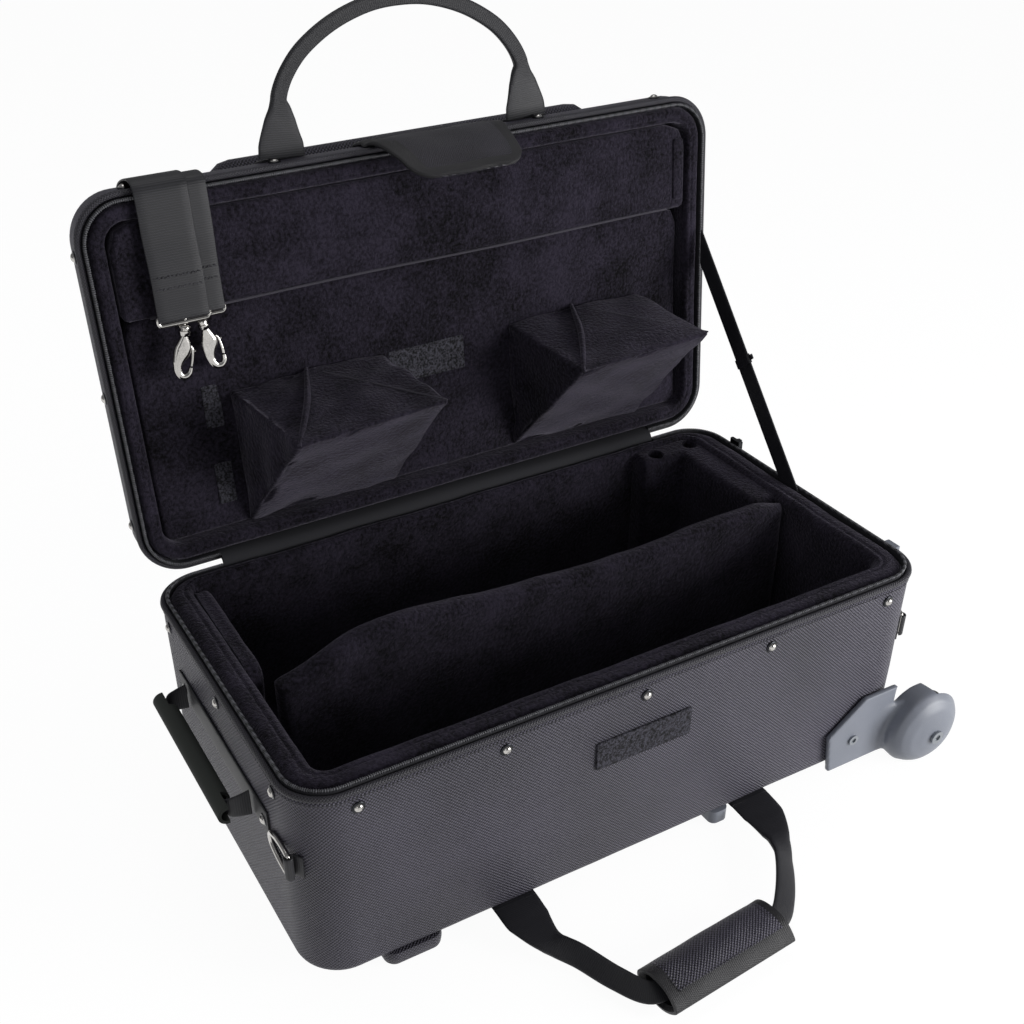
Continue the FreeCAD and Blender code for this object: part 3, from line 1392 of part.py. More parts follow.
def sling_ends():
    """Name, middle, depth and lean of the fittings at the sling's two ends."""
    return (
        ("front", SLING_FRONT_X, SLING_FRONT_D, HOOK_LEAN_DEG),
        ("rear", SLING_REAR_X, SLING_REAR_D, -HOOK_LEAN_DEG),
    )


def leaning(shape, x, depth, lean):
    """A piece of a hook, turned to lean sideways about the middle of its ring's far bar."""
    shape = shape.copy()
    shape.rotate(vec(x, RING_END_Y - RING_BAND / 2, RIM_HEIGHT + depth), Z_AXIS, lean)
    return shape


def sling_ring(x, depth, lean):
    """Rectangular end ring of the sling, with a hole for its hook's leaning stud."""
    z = RIM_HEIGHT + depth
    low = (x - RING_WIDTH / 2, RING_FRONT_Y, z - RING_THICKNESS / 2)
    high = (x + RING_WIDTH / 2, RING_END_Y, z + RING_THICKNESS / 2)
    ring = rounded_block(low, high, RING_BAND * RING_ROUND_SHARE)
    slot = box(
        (low[0] + RING_BAND, low[1] + RING_BAND, low[2] - OVERRUN),
        (high[0] - RING_BAND, high[1] - RING_BAND, high[2] + OVERRUN),
    )
    start = vec(x, RING_END_Y - RING_BAND - SWIVEL_PLAY, z)
    hole = rod(SWIVEL_STUD_RADIUS + RUNNING_GAP, start, vec(x, RING_END_Y + SWIVEL_PLAY, z))
    return ring.cut(slot).cut(leaning(hole, x, depth, lean))


def snap_hook(x, depth, lean):
    """Swivel snap hook: headed stud, collar and a flat open hook."""
    z = RIM_HEIGHT + depth
    head_start = vec(x, RING_END_Y - RING_BAND - SWIVEL_PLAY - SWIVEL_HEAD_LENGTH, z)
    head = rod(SWIVEL_HEAD_RADIUS, head_start, head_start + Y_AXIS * SWIVEL_HEAD_LENGTH)
    collar_start = vec(x, RING_END_Y + SWIVEL_PLAY, z)
    stud = rod(SWIVEL_STUD_RADIUS, head_start, collar_start + Y_AXIS * FIT_GAP)
    collar = rod(SWIVEL_COLLAR_RADIUS, collar_start, collar_start + Y_AXIS * SWIVEL_COLLAR_LENGTH)
    eye_start = hook_eye_start()
    half = HOOK_HALF_WIDTH
    inner_half = half - HOOK_BAND
    low = z - HOOK_THICKNESS / 2
    high = z + HOOK_THICKNESS / 2
    outer = rounded_block(
        (x - half, eye_start, low), (x + half, eye_start + HOOK_LENGTH, high), half * HOOK_ROUND_SHARE
    )
    inner = rounded_block(
        (x - inner_half, eye_start + HOOK_BAND, low - OVERRUN),
        (x + inner_half, eye_start + HOOK_LENGTH - HOOK_BAND, high + OVERRUN),
        inner_half * HOOK_ROUND_SHARE,
    )
    gate_low, gate_high = gate_span(eye_start)
    mouth = box(
        (x + inner_half - OVERRUN / 2, gate_low, low - OVERRUN),
        (x + half + OVERRUN, gate_high, high + OVERRUN),
    )
    fork_half = GATE_WIDTH / 2 + FIT_GAP
    fork = box(
        (x + inner_half - OVERRUN / 2, gate_low - GATE_HEEL, z - fork_half),
        (x + half + OVERRUN, gate_low, z + fork_half),
    )
    pin = gate_pin(x, z)
    hole = rod(GATE_PIN_RADIUS + RUNNING_GAP, pin - Z_AXIS * HOOK_THICKNESS, pin + Z_AXIS * HOOK_THICKNESS)
    hook = fused([head, stud, collar, outer.cut(inner)]).cut(mouth).cut(fork).cut(hole)
    return leaning(hook, x, depth, lean)


def hook_eye_start():
    """Where a hook's flat eye starts, inside the end of its collar."""
    return RING_END_Y + SWIVEL_COLLAR_LENGTH


def gate_span(eye_start):
    """Where along the hook its gate's mouth starts and ends."""
    low = eye_start + (HOOK_LENGTH - GATE_LENGTH) / 2
    return low, low + GATE_LENGTH


def gate_pin(x, z):
    """Middle of an upright hook's gate pin, in the fork at the collar end of its mouth."""
    low, high = gate_span(hook_eye_start())
    return vec(x + HOOK_HALF_WIDTH - HOOK_BAND / 2, low - GATE_HEEL / 2, z)


def hook_gate(x, depth, lean):
    """Sprung bar that closes the hook's mouth, with its pin."""
    z = RIM_HEIGHT + depth
    low, high = gate_span(hook_eye_start())
    pin = gate_pin(x, z)
    bar = rounded_block(
        (pin.x - GATE_WIDTH / 2, low - GATE_HEEL + FIT_GAP * 2, z - GATE_WIDTH / 2),
        (pin.x + GATE_WIDTH / 2, high - FIT_GAP, z + GATE_WIDTH / 2),
        GATE_WIDTH * GATE_ROUND_SHARE,
    )
    half = HOOK_THICKNESS / 2
    gate = fused([bar, rod(GATE_PIN_RADIUS, pin - Z_AXIS * half, pin + Z_AXIS * half)])
    return leaning(gate, x, depth, lean)


def stay_strap():
    """Webbing stay that holds the lid open, from the base rim to the lid rim."""
    x = HALF_LENGTH - STAY_INSET
    low = vec(0, STAY_Y_BASE, RIM_HEIGHT + FIT_GAP)
    high = opened(Part.Vertex(vec(0, STAY_Y_LID, RIM_HEIGHT - FIT_GAP))).Point
    run = (high - low).normalize()
    lid_side = opened_direction(Y_AXIS)
    low_half = Y_AXIS * (STAY_WIDTH / 2 / abs(run.cross(Y_AXIS).Length))
    high_half = lid_side * (STAY_WIDTH / 2 / abs(run.cross(lid_side).Length))
    corners = [low - low_half, low + low_half, high + high_half, high - high_half]
    if (corners[1] - corners[2]).Length < (corners[1] - corners[3]).Length:
        corners = [corners[0], corners[1], corners[2], corners[3]]
    else:
        corners = [corners[0], corners[1], corners[3], corners[2]]
    outline = [vec(x, corner.y, corner.z) for corner in corners]
    return prism(outline, vec(-WEBBING_THICKNESS, 0, 0))


def loop_strips():
    """Loop strips on the lid's main panel."""
    low = PANEL_Z - LOOP_STRIP_THICKNESS
    strips = []
    for share in LOOP_STRIP_Y_SHARES:
        y = share * CASE_WIDTH
        strips.append(box(
            (LOOP_STRIP_X - LOOP_STRIP_WIDTH / 2, y - LOOP_STRIP_LENGTH / 2, low),
            (LOOP_STRIP_X + LOOP_STRIP_WIDTH / 2, y + LOOP_STRIP_LENGTH / 2, PANEL_Z),
        ))
    half_x = LOOP_STRIP_BETWEEN_LENGTH / 2
    half_y = LOOP_STRIP_BETWEEN_WIDTH / 2
    strips.append(box(
        (LOOP_STRIP_BETWEEN_X - half_x, LOOP_STRIP_BETWEEN_Y - half_y, low),
        (LOOP_STRIP_BETWEEN_X + half_x, LOOP_STRIP_BETWEEN_Y + half_y, PANEL_Z),
    ))
    return Part.makeCompound(strips)


def opened_direction(direction):
    """A direction of the closed lid, turned open about the hinge line."""
    turn = FreeCAD.Rotation(X_AXIS, -LID_OPEN_DEG)
    return turn.multVec(direction)


def opened(shape):
    """A piece of the closed lid, turned open about the hinge line."""
    shape = shape.copy()
    shape.rotate(vec(0, HINGE_Y, HINGE_Z), X_AXIS, -LID_OPEN_DEG)
    return shape


def pieces():
    """Every piece by name, in the case's own frame."""
    base = {
        "base_shell": base_shell(),
        "base_piping": piping(SHELL_TOP + PIPING_RADIUS),
        "base_zip_tape": zip_band(SHELL_TOP, RIM_HEIGHT - COIL_HEIGHT - COIL_HALF_GAP),
        "base_zip_coil": zip_band(RIM_HEIGHT - COIL_HEIGHT - COIL_HALF_GAP, RIM_HEIGHT - COIL_HALF_GAP),
        "base_lining": base_lining(),
        "divider": divider(),
        "bell_pad": bell_pad(),
        "mouthpiece_block": mouthpiece_block(),
        "loop_patch": loop_patch(),
        "base_rivets": base_rivets(),
        "end_strip": end_strip(),
        "end_strip_rivets": end_strip_rivets(),
        "d_ring_tab_left": d_tab(),
        "d_ring_tab_right": mirrored_x(d_tab()),
        "d_ring_left": d_ring(),
        "d_ring_right": mirrored_x(d_ring()),
        "wheel_bracket_front": wheel_bracket(),
        "wheel_bracket_back": mirrored_y(wheel_bracket()),
        "bracket_bolts": Part.makeCompound([bracket_bolt(), mirrored_y(bracket_bolt())]),
        "axle_bolts": Part.makeCompound([axle_bolt(), mirrored_y(axle_bolt())]),
        "tyre_front": tyre(),
        "tyre_back": mirrored_y(tyre()),
        "hub_front": hub(),
        "hub_back": mirrored_y(hub()),
        "stand_feet": Part.makeCompound([stand_foot(), mirrored_y(stand_foot())]),
        "plastic_feet": Part.makeCompound([grey_foot(), mirrored_y(grey_foot())]),
        "fabric_feet": Part.makeCompound([fabric_foot(), mirrored_y(fabric_foot())]),
        "handle_anchors": handle_anchors(),
        "base_handle_straps": base_handle_straps(),
        "base_handle_wrap": handle_wrap(),
        "grip_tube": grip_tube(),
        "grip_webbing": grip_webbing(),
        "zip_slider": zip_slider(),
        "zip_pull": zip_pull(),
        "fabric_hinge": fabric_hinge(),
        "stay_strap": stay_strap(),
    }
    inner = HALF_WIDTH - LID_INNER_INSET
    lid = {
        "lid_shell": lid_shell(),
        "lid_piping": piping(LID_SHELL_BOTTOM - PIPING_RADIUS),
        "lid_zip_tape": zip_band(RIM_HEIGHT + COIL_HEIGHT + COIL_HALF_GAP, LID_SHELL_BOTTOM),
        "lid_zip_coil": zip_band(RIM_HEIGHT + COIL_HALF_GAP, RIM_HEIGHT + COIL_HEIGHT + COIL_HALF_GAP),
        "lid_lining": lid_lining(),
        "lid_main_panel": lid_panel(PANEL_SEAM_Y, inner - FIT_GAP, PANEL_Z),
        "lid_pocket_panel": lid_panel(-inner + FIT_GAP, PANEL_SEAM_Y - FIT_GAP, POCKET_Z),
        "lid_outer_pocket": outer_pocket(),
        "lid_rivets": lid_rivets(),
        "flap_root": flap_root(),
        "closure_flap": closure_flap(),
        "lid_handle_anchors": lid_handle_anchors(),
        "lid_handle": lid_handle(),
        "wedge_pad_left": wedge_pad(PAD_START_LEFT, PAD_RIDGE_LENGTH_LEFT),
        "wedge_pad_right": wedge_pad(PAD_START_RIGHT, PAD_RIDGE_LENGTH_RIGHT),
        "lid_loop_strips": loop_strips(),
        "sling_strap": sling_strap(),
    }
    for name, x, depth, lean in sling_ends():
        lid["sling_ring_" + name] = sling_ring(x, depth, lean)
        lid["snap_hook_" + name] = snap_hook(x, depth, lean)
        lid["hook_gate_" + name] = hook_gate(x, depth, lean)
    for name, shape in lid.items():
        base[name] = opened(shape)
    return base


def model():
    """Every piece, moved so that the origin is under the middle of the whole object."""
    parts = pieces()
    bounds = Part.makeCompound(list(parts.values())).optimalBoundingBox()
    middle = vec(-(bounds.XMin + bounds.XMax) / 2, -(bounds.YMin + bounds.YMax) / 2, 0)
    for shape in parts.values():
        shape.translate(middle)
    return parts, middle


def main():
    """Write every piece."""
    os.makedirs("parts", exist_ok=True)
    parts, middle = model()
    for name, shape in parts.items():
        shape.exportStep("parts/" + name + ".step")
    print("pieces", len(parts), "origin shift", round(middle.x, 3), round(middle.y, 3))


main()
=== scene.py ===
"""Looks of a wheeled, zipped double case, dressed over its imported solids.

Lengths are millimetres in the case's own frame unless a name says otherwise: X runs
along the case towards the wheels, -Y is the front, Z is up from the floor, and the
body is centred on X = Y = 0. Pieces of the lid are worked out with the lid closed and
then turned open about its hinge, as the solids stand.
"""

from __future__ import annotations

import json
import logging
import math
from dataclasses import dataclass
from enum import Enum
from typing import Callable, Iterable

import bmesh
import bpy
import numpy as np
from mathutils import Matrix, Vector

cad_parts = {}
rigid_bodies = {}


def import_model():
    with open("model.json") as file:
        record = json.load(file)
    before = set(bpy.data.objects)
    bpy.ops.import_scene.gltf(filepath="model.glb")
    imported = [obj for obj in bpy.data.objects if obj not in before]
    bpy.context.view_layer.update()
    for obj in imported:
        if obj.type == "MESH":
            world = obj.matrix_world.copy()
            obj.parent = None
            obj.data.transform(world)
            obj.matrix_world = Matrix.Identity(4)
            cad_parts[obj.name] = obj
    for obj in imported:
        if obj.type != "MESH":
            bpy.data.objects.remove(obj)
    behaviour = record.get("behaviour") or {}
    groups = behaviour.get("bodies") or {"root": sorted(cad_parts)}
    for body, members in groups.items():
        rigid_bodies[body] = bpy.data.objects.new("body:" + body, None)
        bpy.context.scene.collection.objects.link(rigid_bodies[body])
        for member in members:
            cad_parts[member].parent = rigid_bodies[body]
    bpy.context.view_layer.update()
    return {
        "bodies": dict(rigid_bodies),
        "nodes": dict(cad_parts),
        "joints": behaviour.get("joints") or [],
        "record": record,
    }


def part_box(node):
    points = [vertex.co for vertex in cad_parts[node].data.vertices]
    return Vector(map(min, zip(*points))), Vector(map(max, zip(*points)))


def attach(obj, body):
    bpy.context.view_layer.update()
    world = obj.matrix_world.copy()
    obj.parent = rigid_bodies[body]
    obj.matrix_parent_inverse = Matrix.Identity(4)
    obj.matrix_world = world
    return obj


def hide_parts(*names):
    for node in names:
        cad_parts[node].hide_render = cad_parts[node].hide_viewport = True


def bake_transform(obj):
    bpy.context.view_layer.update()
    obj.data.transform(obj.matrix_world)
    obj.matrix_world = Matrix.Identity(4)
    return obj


LOG = logging.getLogger("case")
Array = np.ndarray
Spot = tuple[float, ...]
Place = Callable[[Array], Array]
Piece = bpy.types.Object
Socket = bpy.types.NodeSocket
Tree = bpy.types.NodeTree

METRES = 0.001
TURN = 2 * math.pi
HALF_TURN = math.pi
QUARTER = math.pi / 2
ALONG = np.array([1.0, 0, 0])
UP = np.array([0, 0, 1.0])

# Body of the case
HALF_LENGTH = 290.0
HALF_WIDTH = 157.0
CORNER = 38.0
WALL = 7.0
GROUND_GAP = 16.0
SHELL_TOP = 194.0
RIM = 203.0
LID_LOW = 212.0
LID_TOP = 260.0
LID_ROUND = 34.0
LID_OPEN_DEG = 95.92
LINING_INSET = 7.3

# Bodies that turn with the lid, by the starts of their names
ON_LID = ("lid", "flap", "sling", "snap", "hook")

# A face counts as level when its unit normal rises or falls by more than this share
LEVEL_SHARE = 0.8

# Folded edge of a shell's cloth: inset, and distance from the edge along the wall
FOLD = np.array([(0.5, 3.6), (0.0, 2.6), (1.2, 0.0)])

# Coil zip: length of a turn, how far each turn swells, and its size
COIL_PITCH = 2.0
COIL_SWELL_SHARE = 0.28
COIL_SIZE = (2.3, 2.6)

# Sewing thread: its thickness, the rise of a stitch, and how deep its ends sink
THREAD_SIZE = 0.75
STITCH_RISE = 0.45
STITCH_SINK = 0.1
STITCH_START_SHARE = 0.12


# Surfaces


def unit(vectors: Array) -> Array:
    """Vectors divided by their lengths."""
    return vectors / np.maximum(np.linalg.norm(vectors, axis=-1, keepdims=True), 1e-12)


def blend_values(low: float, high: float, share: Array) -> Array:
    """Ease from low to high: s * s * (3 - 2 s) of the share, kept within 0 and 1."""
    kept = np.clip(share, 0, 1)
    return low + (high - low) * kept * kept * (3 - 2 * kept)


def ripple(points: Array, wavelength: float, depth: float, seed: int) -> Array:
    """Soft unevenness of cloth over foam.

    The sum of six sine waves in seeded directions, whose lengths lie round the given
    one, scaled so that the largest heights come near depth.

    Args:
        points: places in millimetres, the last axis being x, y, z.
        wavelength: middle wavelength in millimetres.
        depth: largest height in millimetres.
        seed: number that picks the directions.

    Returns:
        One height per point.
    """
    rng = np.random.default_rng(seed)
    ways = unit(rng.normal(size=(6, 3)))
    turns = TURN / (wavelength * rng.uniform(0.6, 1.6, 6))
    phases = rng.uniform(0, TURN, 6)
    waves = np.sin(points @ (ways * turns[:, None]).T + phases)
    return depth * waves.sum(-1) / 3.2


def distances(line: Array) -> Array:
    """How far along a line each of its places lies."""
    return np.concatenate([[0], np.cumsum(np.linalg.norm(np.diff(line, axis=0), axis=1))])


def resampled(line: Array, count: int) -> Array:
    """The same line with count places at even steps of its length."""
    along = distances(line)
    wanted = np.linspace(0, along[-1], count)
    return np.stack([np.interp(wanted, along, line[:, k]) for k in range(line.shape[1])], -1)


def curve_through(points: Iterable[Spot], count: int) -> Array:
    """A smooth line of count places through points: a Catmull-Rom spline, evenly resampled."""
    knots = np.asarray(list(points), float)
    padded = np.vstack([2 * knots[0] - knots[1], knots, 2 * knots[-1] - knots[-2]])
    t = np.linspace(0, 1, 24, endpoint=False)[:, None, None]
    a, b, c, d = (padded[i : len(padded) - 3 + i][None] for i in range(4))
    bend = (2 * a - 5 * b + 4 * c - d) * t**2
    dense = 0.5 * (2 * b + (c - a) * t + bend + (3 * b - a - 3 * c + d) * t**3)
    line = np.vstack([dense.transpose(1, 0, 2).reshape(-1, knots.shape[1]), knots[-1:]])
    return resampled(line, count)


def circle(count: int) -> Array:
    """Angles at even steps once round."""
    return np.arange(count) * TURN / count


def directions(start_deg: float, end_deg: float, count: int) -> Array:
    """Level unit directions (cos a, sin a) at even steps of an angle."""
    angle = np.radians(np.linspace(start_deg, end_deg, count))
    return np.stack([np.cos(angle), np.sin(angle)], -1)


@dataclass(frozen=True)
class Plan:
    """Rounded rectangle seen from above, on one set of samples for every inset."""

    half_x: float
    half_y: float
    radius: float
    centre_x: float = 0.0
    centre_y: float = 0.0
    arc: int = 10
    side_x: int = 44
    side_y: int = 24
    back_radius: float | None = None

    def template(self) -> tuple[Array, Array]:
        """Shares of the straight core and unit directions of the rounding, once round.

        A sample lies at core share * (half size - radius) + direction * radius.
        """
        shares = []
        ways = []
        corners = ((1, -1, -90), (1, 1, 0), (-1, 1, 90), (-1, -1, 180))
        for index, (sx, sy, start) in enumerate(corners):
            shares.append(np.tile([sx, sy], (self.arc + 1, 1)).astype(float))
            ways.append(directions(start, start + 90, self.arc + 1))
            after = corners[(index + 1) % 4][:2]
            count = self.side_y if sx == after[0] else self.side_x
            t = np.linspace(0, 1, count + 2)[1:-1, None]
            shares.append(np.array([[sx, sy]]) * (1 - t) + np.array([after]) * t)
            ways.append(np.tile(ways[-1][-1], (count, 1)))
        return np.vstack(shares), np.vstack(ways)

    def rings(self, inset: Iterable[float], z: Iterable[float]) -> Array:
        """Rings drawn in by each inset at each height, as an array rings x samples x 3."""
        shares, ways = self.template()
        drawn = np.asarray(inset, float)[:, None]
        height = np.asarray(z, float)[:, None]
        back_radius = self.radius if self.back_radius is None else self.back_radius
        turned = np.where(shares[:, 1] > 0, back_radius, self.radius)[None]
        radius = np.clip(turned - drawn, 0.4, None)
        core_x = np.clip(self.half_x - drawn - radius, 0.01, None)
        core_y = np.clip(self.half_y - drawn - radius, 0.01, None)
        x = self.centre_x + shares[None, :, 0] * core_x + ways[None, :, 0] * radius
        y = self.centre_y + shares[None, :, 1] * core_y + ways[None, :, 1] * radius
        return np.stack([x, y, np.broadcast_to(height, x.shape)], -1)

    def outward(self) -> Array:
        """Level directions that point out of the plan, one per sample."""
        ways = self.template()[1]
        return np.hstack([ways, np.zeros((len(ways), 1))])

    def open_line(self, inset: float, z: float, gap_half: float) -> Array:
        """The ring as a line that leaves out the middle of the back side."""
        ring = self.rings([inset], [z])[0]
        dense = resampled(np.vstack([ring, ring[:1]]), 1600)[:-1]
        inside = (dense[:, 1] > self.half_y * 0.9) & (np.abs(dense[:, 0]) < gap_half)
        first = np.flatnonzero(inside & ~np.roll(inside, -1))[0] + 1
        rolled = np.roll(dense, -first, axis=0)
        return rolled[~np.roll(inside, -first)]


BODY = Plan(HALF_LENGTH, HALF_WIDTH, CORNER, arc=14)


def profile(*parts: tuple[Array | Spot | float, Array | Spot | float]) -> tuple[Array, Array]:
    """Insets and heights of rings, from parts in which one number stands for a whole run."""
    pairs = [np.broadcast_arrays(*(np.asarray(side, float) for side in part)) for part in parts]
    return tuple(np.concatenate(side) for side in zip(*pairs))


def swept(path: Array, section: Array, width_way: Array | Spot) -> Array:
    """A section carried along a path: path + across * s + up * t for every (s, t).

    Args:
        path: n places.
        section: m pairs (across, up), or n x m pairs where the section changes.
        width_way: rough direction of across, one for all places or one each.

    Returns:
        Array n x m x 3.
    """
    tangent = unit(np.gradient(path, axis=0))
    across = np.broadcast_to(np.asarray(width_way, float), path.shape)
    across = unit(across - (across * tangent).sum(-1, keepdims=True) * tangent)
    up = np.cross(tangent, across)
    shape = section if section.ndim == 3 else np.broadcast_to(section, (len(path), *section.shape))
    return path[:, None] + across[:, None] * shape[..., :1] + up[:, None] * shape[..., 1:]


def oval(width: float, height: float, sides: int = 12, power: float = 2.0) -> Array:
    """Superellipse |s|^p + |t|^p = 1 scaled to a width and height, as sides pairs."""
    angle = circle(sides)
    c, s = np.cos(angle), np.sin(angle)
    across = width / 2 * np.sign(c) * np.abs(c) ** (2 / power)
    return np.stack([across, height / 2 * np.sign(s) * np.abs(s) ** (2 / power)], -1)


def changing(width: Array, depth: Array | float, sides: int = 20, power: float = 3.4) -> Array:
    """A superellipse for each place of a path, width by depth, as n x sides pairs."""
    size = np.stack(np.broadcast_arrays(width, depth), -1)
    return oval(1, 1, sides, power)[None] * size[:, None]


def webbing_section(width: float, thickness: float) -> Array:
    """Flat band with rounded edges and a few samples across each face."""
    flat = np.linspace(-0.5, 0.5, 7)
    edge = thickness / 2
    face = width - thickness
    corner = width / 2 - edge * 0.3
    top = np.stack([flat * face, np.full(7, edge)], -1)
    bottom = np.stack([-flat * face, np.full(7, -edge)], -1)
    right = np.array([[corner, edge * 0.7], [width / 2, 0], [corner, -edge * 0.7]])
    return np.vstack([top, right, bottom, -right])


def cushion_rings(
    height: float, round_over: float, crown: float, reach: float, tuck: float
) -> tuple[Array, Array]:
    """Insets and heights of a crowned pad, from its flat back to its middle.

    The side rises with a slight tuck, turns over on a quarter circle, and the face
    then swells by crown * (1 - (1 - s)^2) towards the middle.

    Args:
        height: full height of the side.
        round_over: radius of the turned edge.
        crown: extra height at the middle.
        reach: inset at which the face ends.
        tuck: how far the side pulls in half way up.

    Returns:
        Insets and heights above the back.
    """
    back = np.linspace(reach, 1.5, 5)
    side = np.linspace(0, 1, 6)
    turn = np.linspace(0, QUARTER, 7)[1:]
    share = np.linspace(0, 1, 9)[1:]
    face = round_over + share * (reach - round_over)
    level = height - round_over
    inset = [back, tuck * np.sin(side * HALF_TURN), round_over * (1 - np.cos(turn)), face]
    swell = height + crown * (1 - (1 - share) ** 2)
    rise = [np.zeros(5), side * level, level + round_over * np.sin(turn), swell]
    return np.concatenate(inset), np.concatenate(rise)


def lip_shape(count: int, power: float, seam: Spot) -> tuple[Array, Array, Array]:
    """A rolled lip's section: its dome sqrt(1 - |2 s - 1|^p) and its sewn channel.

    Args:
        count: samples across the lip.
        power: how square the dome is.
        seam: share across, width as a share, and depth d of the channel d exp(-u^2).

    Returns:
        Shares across, dome heights from 0 to 1, and channel depths.
    """
    at, width, depth = seam
    across = np.linspace(0, 1, count)
    dome = np.sqrt(np.clip(1 - np.abs(across * 2 - 1) ** power, 0, 1))
    return across, dome, depth * np.exp(-(((across - at) / width) ** 2))


def opened(points: Array) -> Array:
    """Places on the closed lid, turned open about its hinge line."""
    turn = math.radians(LID_OPEN_DEG)
    y = points[..., 1] - HALF_WIDTH
    z = points[..., 2] - RIM
    back = HALF_WIDTH + y * math.cos(turn) + z * math.sin(turn)
    return np.stack([points[..., 0], back, RIM - y * math.sin(turn) + z * math.cos(turn)], -1)


def lid_inset(height: Array | float) -> Array:
    """How far the lid's wall draws in at a height: r - sqrt(r^2 - u^2), u above its flat part."""
    above = np.clip(np.asarray(height, float) - (LID_TOP - LID_ROUND), 0, LID_ROUND)
    return LID_ROUND - np.sqrt(LID_ROUND**2 - above**2)


@dataclass
class Case:
    """The case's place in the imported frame, read from the base shell's solid."""

    shift: Array

    @classmethod
    def read(cls) -> Case:
        """Find where the body's centre stands."""
        low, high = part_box("base_shell")
        return cls(np.array([(low.x + high.x) / 2, (low.y + high.y) / 2, 0.0]))

    def base(self, points: Array) -> Array:
        """Case places to the frame's metres."""
        return points * METRES + self.shift

    def lid(self, points: Array) -> Array:
        """Places on the closed lid to the frame's metres, with the lid turned open."""
        return self.base(opened(points))

    def place(self, body: str) -> Place:
        """What brings places of a body to the frame."""
        return self.lid if body.startswith(ON_LID) else self.base

    def box(self, node: str) -> Array:
        """Low and high corner of a solid, in the case's millimetres."""
        return np.array(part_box(node)) / METRES - self.shift / METRES


# Meshes


def mesh_object(name: str, mesh: bpy.types.Mesh) -> Piece:
    """Put a mesh into the scene as an object at the origin."""
    made = bpy.data.objects.new(name, mesh)
    bpy.context.scene.collection.objects.link(made)
    return made


def face_outwards(mesh: bpy.types.Mesh) -> None:
    """Turn every face of a closed mesh outwards."""
    work = bmesh.new()
    work.from_mesh(mesh)
    bmesh.ops.recalc_face_normals(work, faces=work.faces)
    work.to_mesh(mesh)
    work.free()


def smoothed(mesh: bpy.types.Mesh, sharp_deg: float | None = None) -> None:
    """Shade a mesh smooth; edges sharper than an angle, where one is given, stay crisp."""
    mesh.polygons.foreach_set("use_smooth", np.ones(len(mesh.polygons), bool))
    if sharp_deg is not None:
        mesh.set_sharp_from_angle(angle=math.radians(sharp_deg))


def faceted(name: str, corners: Array, faces: list[Spot], place: Place) -> Piece:
    """A closed body from its corners in millimetres and the faces between them."""
    mesh = bpy.data.meshes.new(name)
    mesh.from_pydata(place(corners).tolist(), [], faces)
    face_outwards(mesh)
    return mesh_object(name, mesh)


def grid_piece(
    name: str, points: Array, place: Place, closed: bool = True, capped: bool = True,
    looped: bool = False, sharp_deg: float = 50.0, level_cloth: bool = False,
) -> Piece:
    """A surface from a grid of places, with a UV map in metres along rows and columns.

    Args:
        name: the piece's name.
        points: rows x columns x 3 places in millimetres.
        place: turns those places into the frame's metres.
        closed: whether each row runs round and meets itself.
        capped: whether the first and last rows are filled in to their middles.
        looped: whether the last row meets the first.
        sharp_deg: edges sharper than this stay crisp.
        level_cloth: whether level faces take their UV map from x and y instead.

    Returns:
        The object, standing at the origin.
    """
    rows, cols = points.shape[:2]
    lines = (np.arange(rows if looped else rows - 1), np.arange(cols if closed else cols - 1))
    i, j = (index.ravel() for index in np.meshgrid(*lines, indexing="ij"))
    down, right = (i + 1) % rows, (j + 1) % cols
    quads = np.stack([i * cols + j, i * cols + right, down * cols + right, down * cols + j], -1)
    row_steps = np.linalg.norm(np.diff(np.vstack([points, points[:1]]), axis=0), axis=-1).max(1)
    across = np.concatenate([points, points[:, :1]], 1)
    col_steps = np.linalg.norm(np.diff(across, axis=1), axis=-1).max(0)
    row_at, col_at = (np.concatenate([[0], np.cumsum(s)]) * METRES for s in (row_steps, col_steps))
    turns = ((0, 0), (1, 0), (1, 1), (0, 1))
    corners = np.stack([np.stack([col_at[j + u], row_at[i + v]], -1) for u, v in turns], 1)
    places = points.reshape(-1, 3)
    if level_cloth:
        drawn = places[quads]
        normal = unit(np.cross(drawn[:, 2] - drawn[:, 0], drawn[:, 3] - drawn[:, 1]))
        level = np.abs(normal[:, 2]) > LEVEL_SHARE
        corners[level] = drawn[level][..., :2] * METRES
    corners = corners.reshape(-1, 2)
    loops = quads.ravel()
    totals = np.full(len(quads), 4)
    if capped and closed and not looped:
        for row, at in ((0, row_at[0]), (rows - 1, row_at[rows - 1])):
            here = row * cols + np.arange(cols)
            beside = row * cols + (np.arange(cols) + 1) % cols
            fan = np.stack([here, beside, np.full(cols, len(places))], -1)
            places = np.vstack([places, points[row].mean(0)])
            flat = ((col_at[:-1], at), (col_at[1:], at), (col_at[:-1], at + 0.01))
            cap = np.stack([np.stack([u, np.full(cols, v)], -1) for u, v in flat], 1)
            if level_cloth:
                cap = places[fan][..., :2] * METRES
            loops = np.concatenate([loops, fan.ravel()])
            totals = np.concatenate([totals, np.full(cols, 3)])
            corners = np.vstack([corners, cap.reshape(-1, 2)])
    mesh = bpy.data.meshes.new(name)
    mesh.vertices.add(len(places))
    mesh.vertices.foreach_set("co", place(places).astype(np.float32).ravel())
    mesh.loops.add(len(loops))
    mesh.loops.foreach_set("vertex_index", loops.astype(np.int32))
    mesh.polygons.add(len(totals))
    starts = np.concatenate([[0], np.cumsum(totals)[:-1]])
    mesh.polygons.foreach_set("loop_start", starts.astype(np.int32))
    mesh.update(calc_edges=True)
    mesh.uv_layers.new(name="cloth").data.foreach_set("uv", corners.astype(np.float32).ravel())
    face_outwards(mesh)
    smoothed(mesh, sharp_deg)
    return mesh_object(name, mesh)


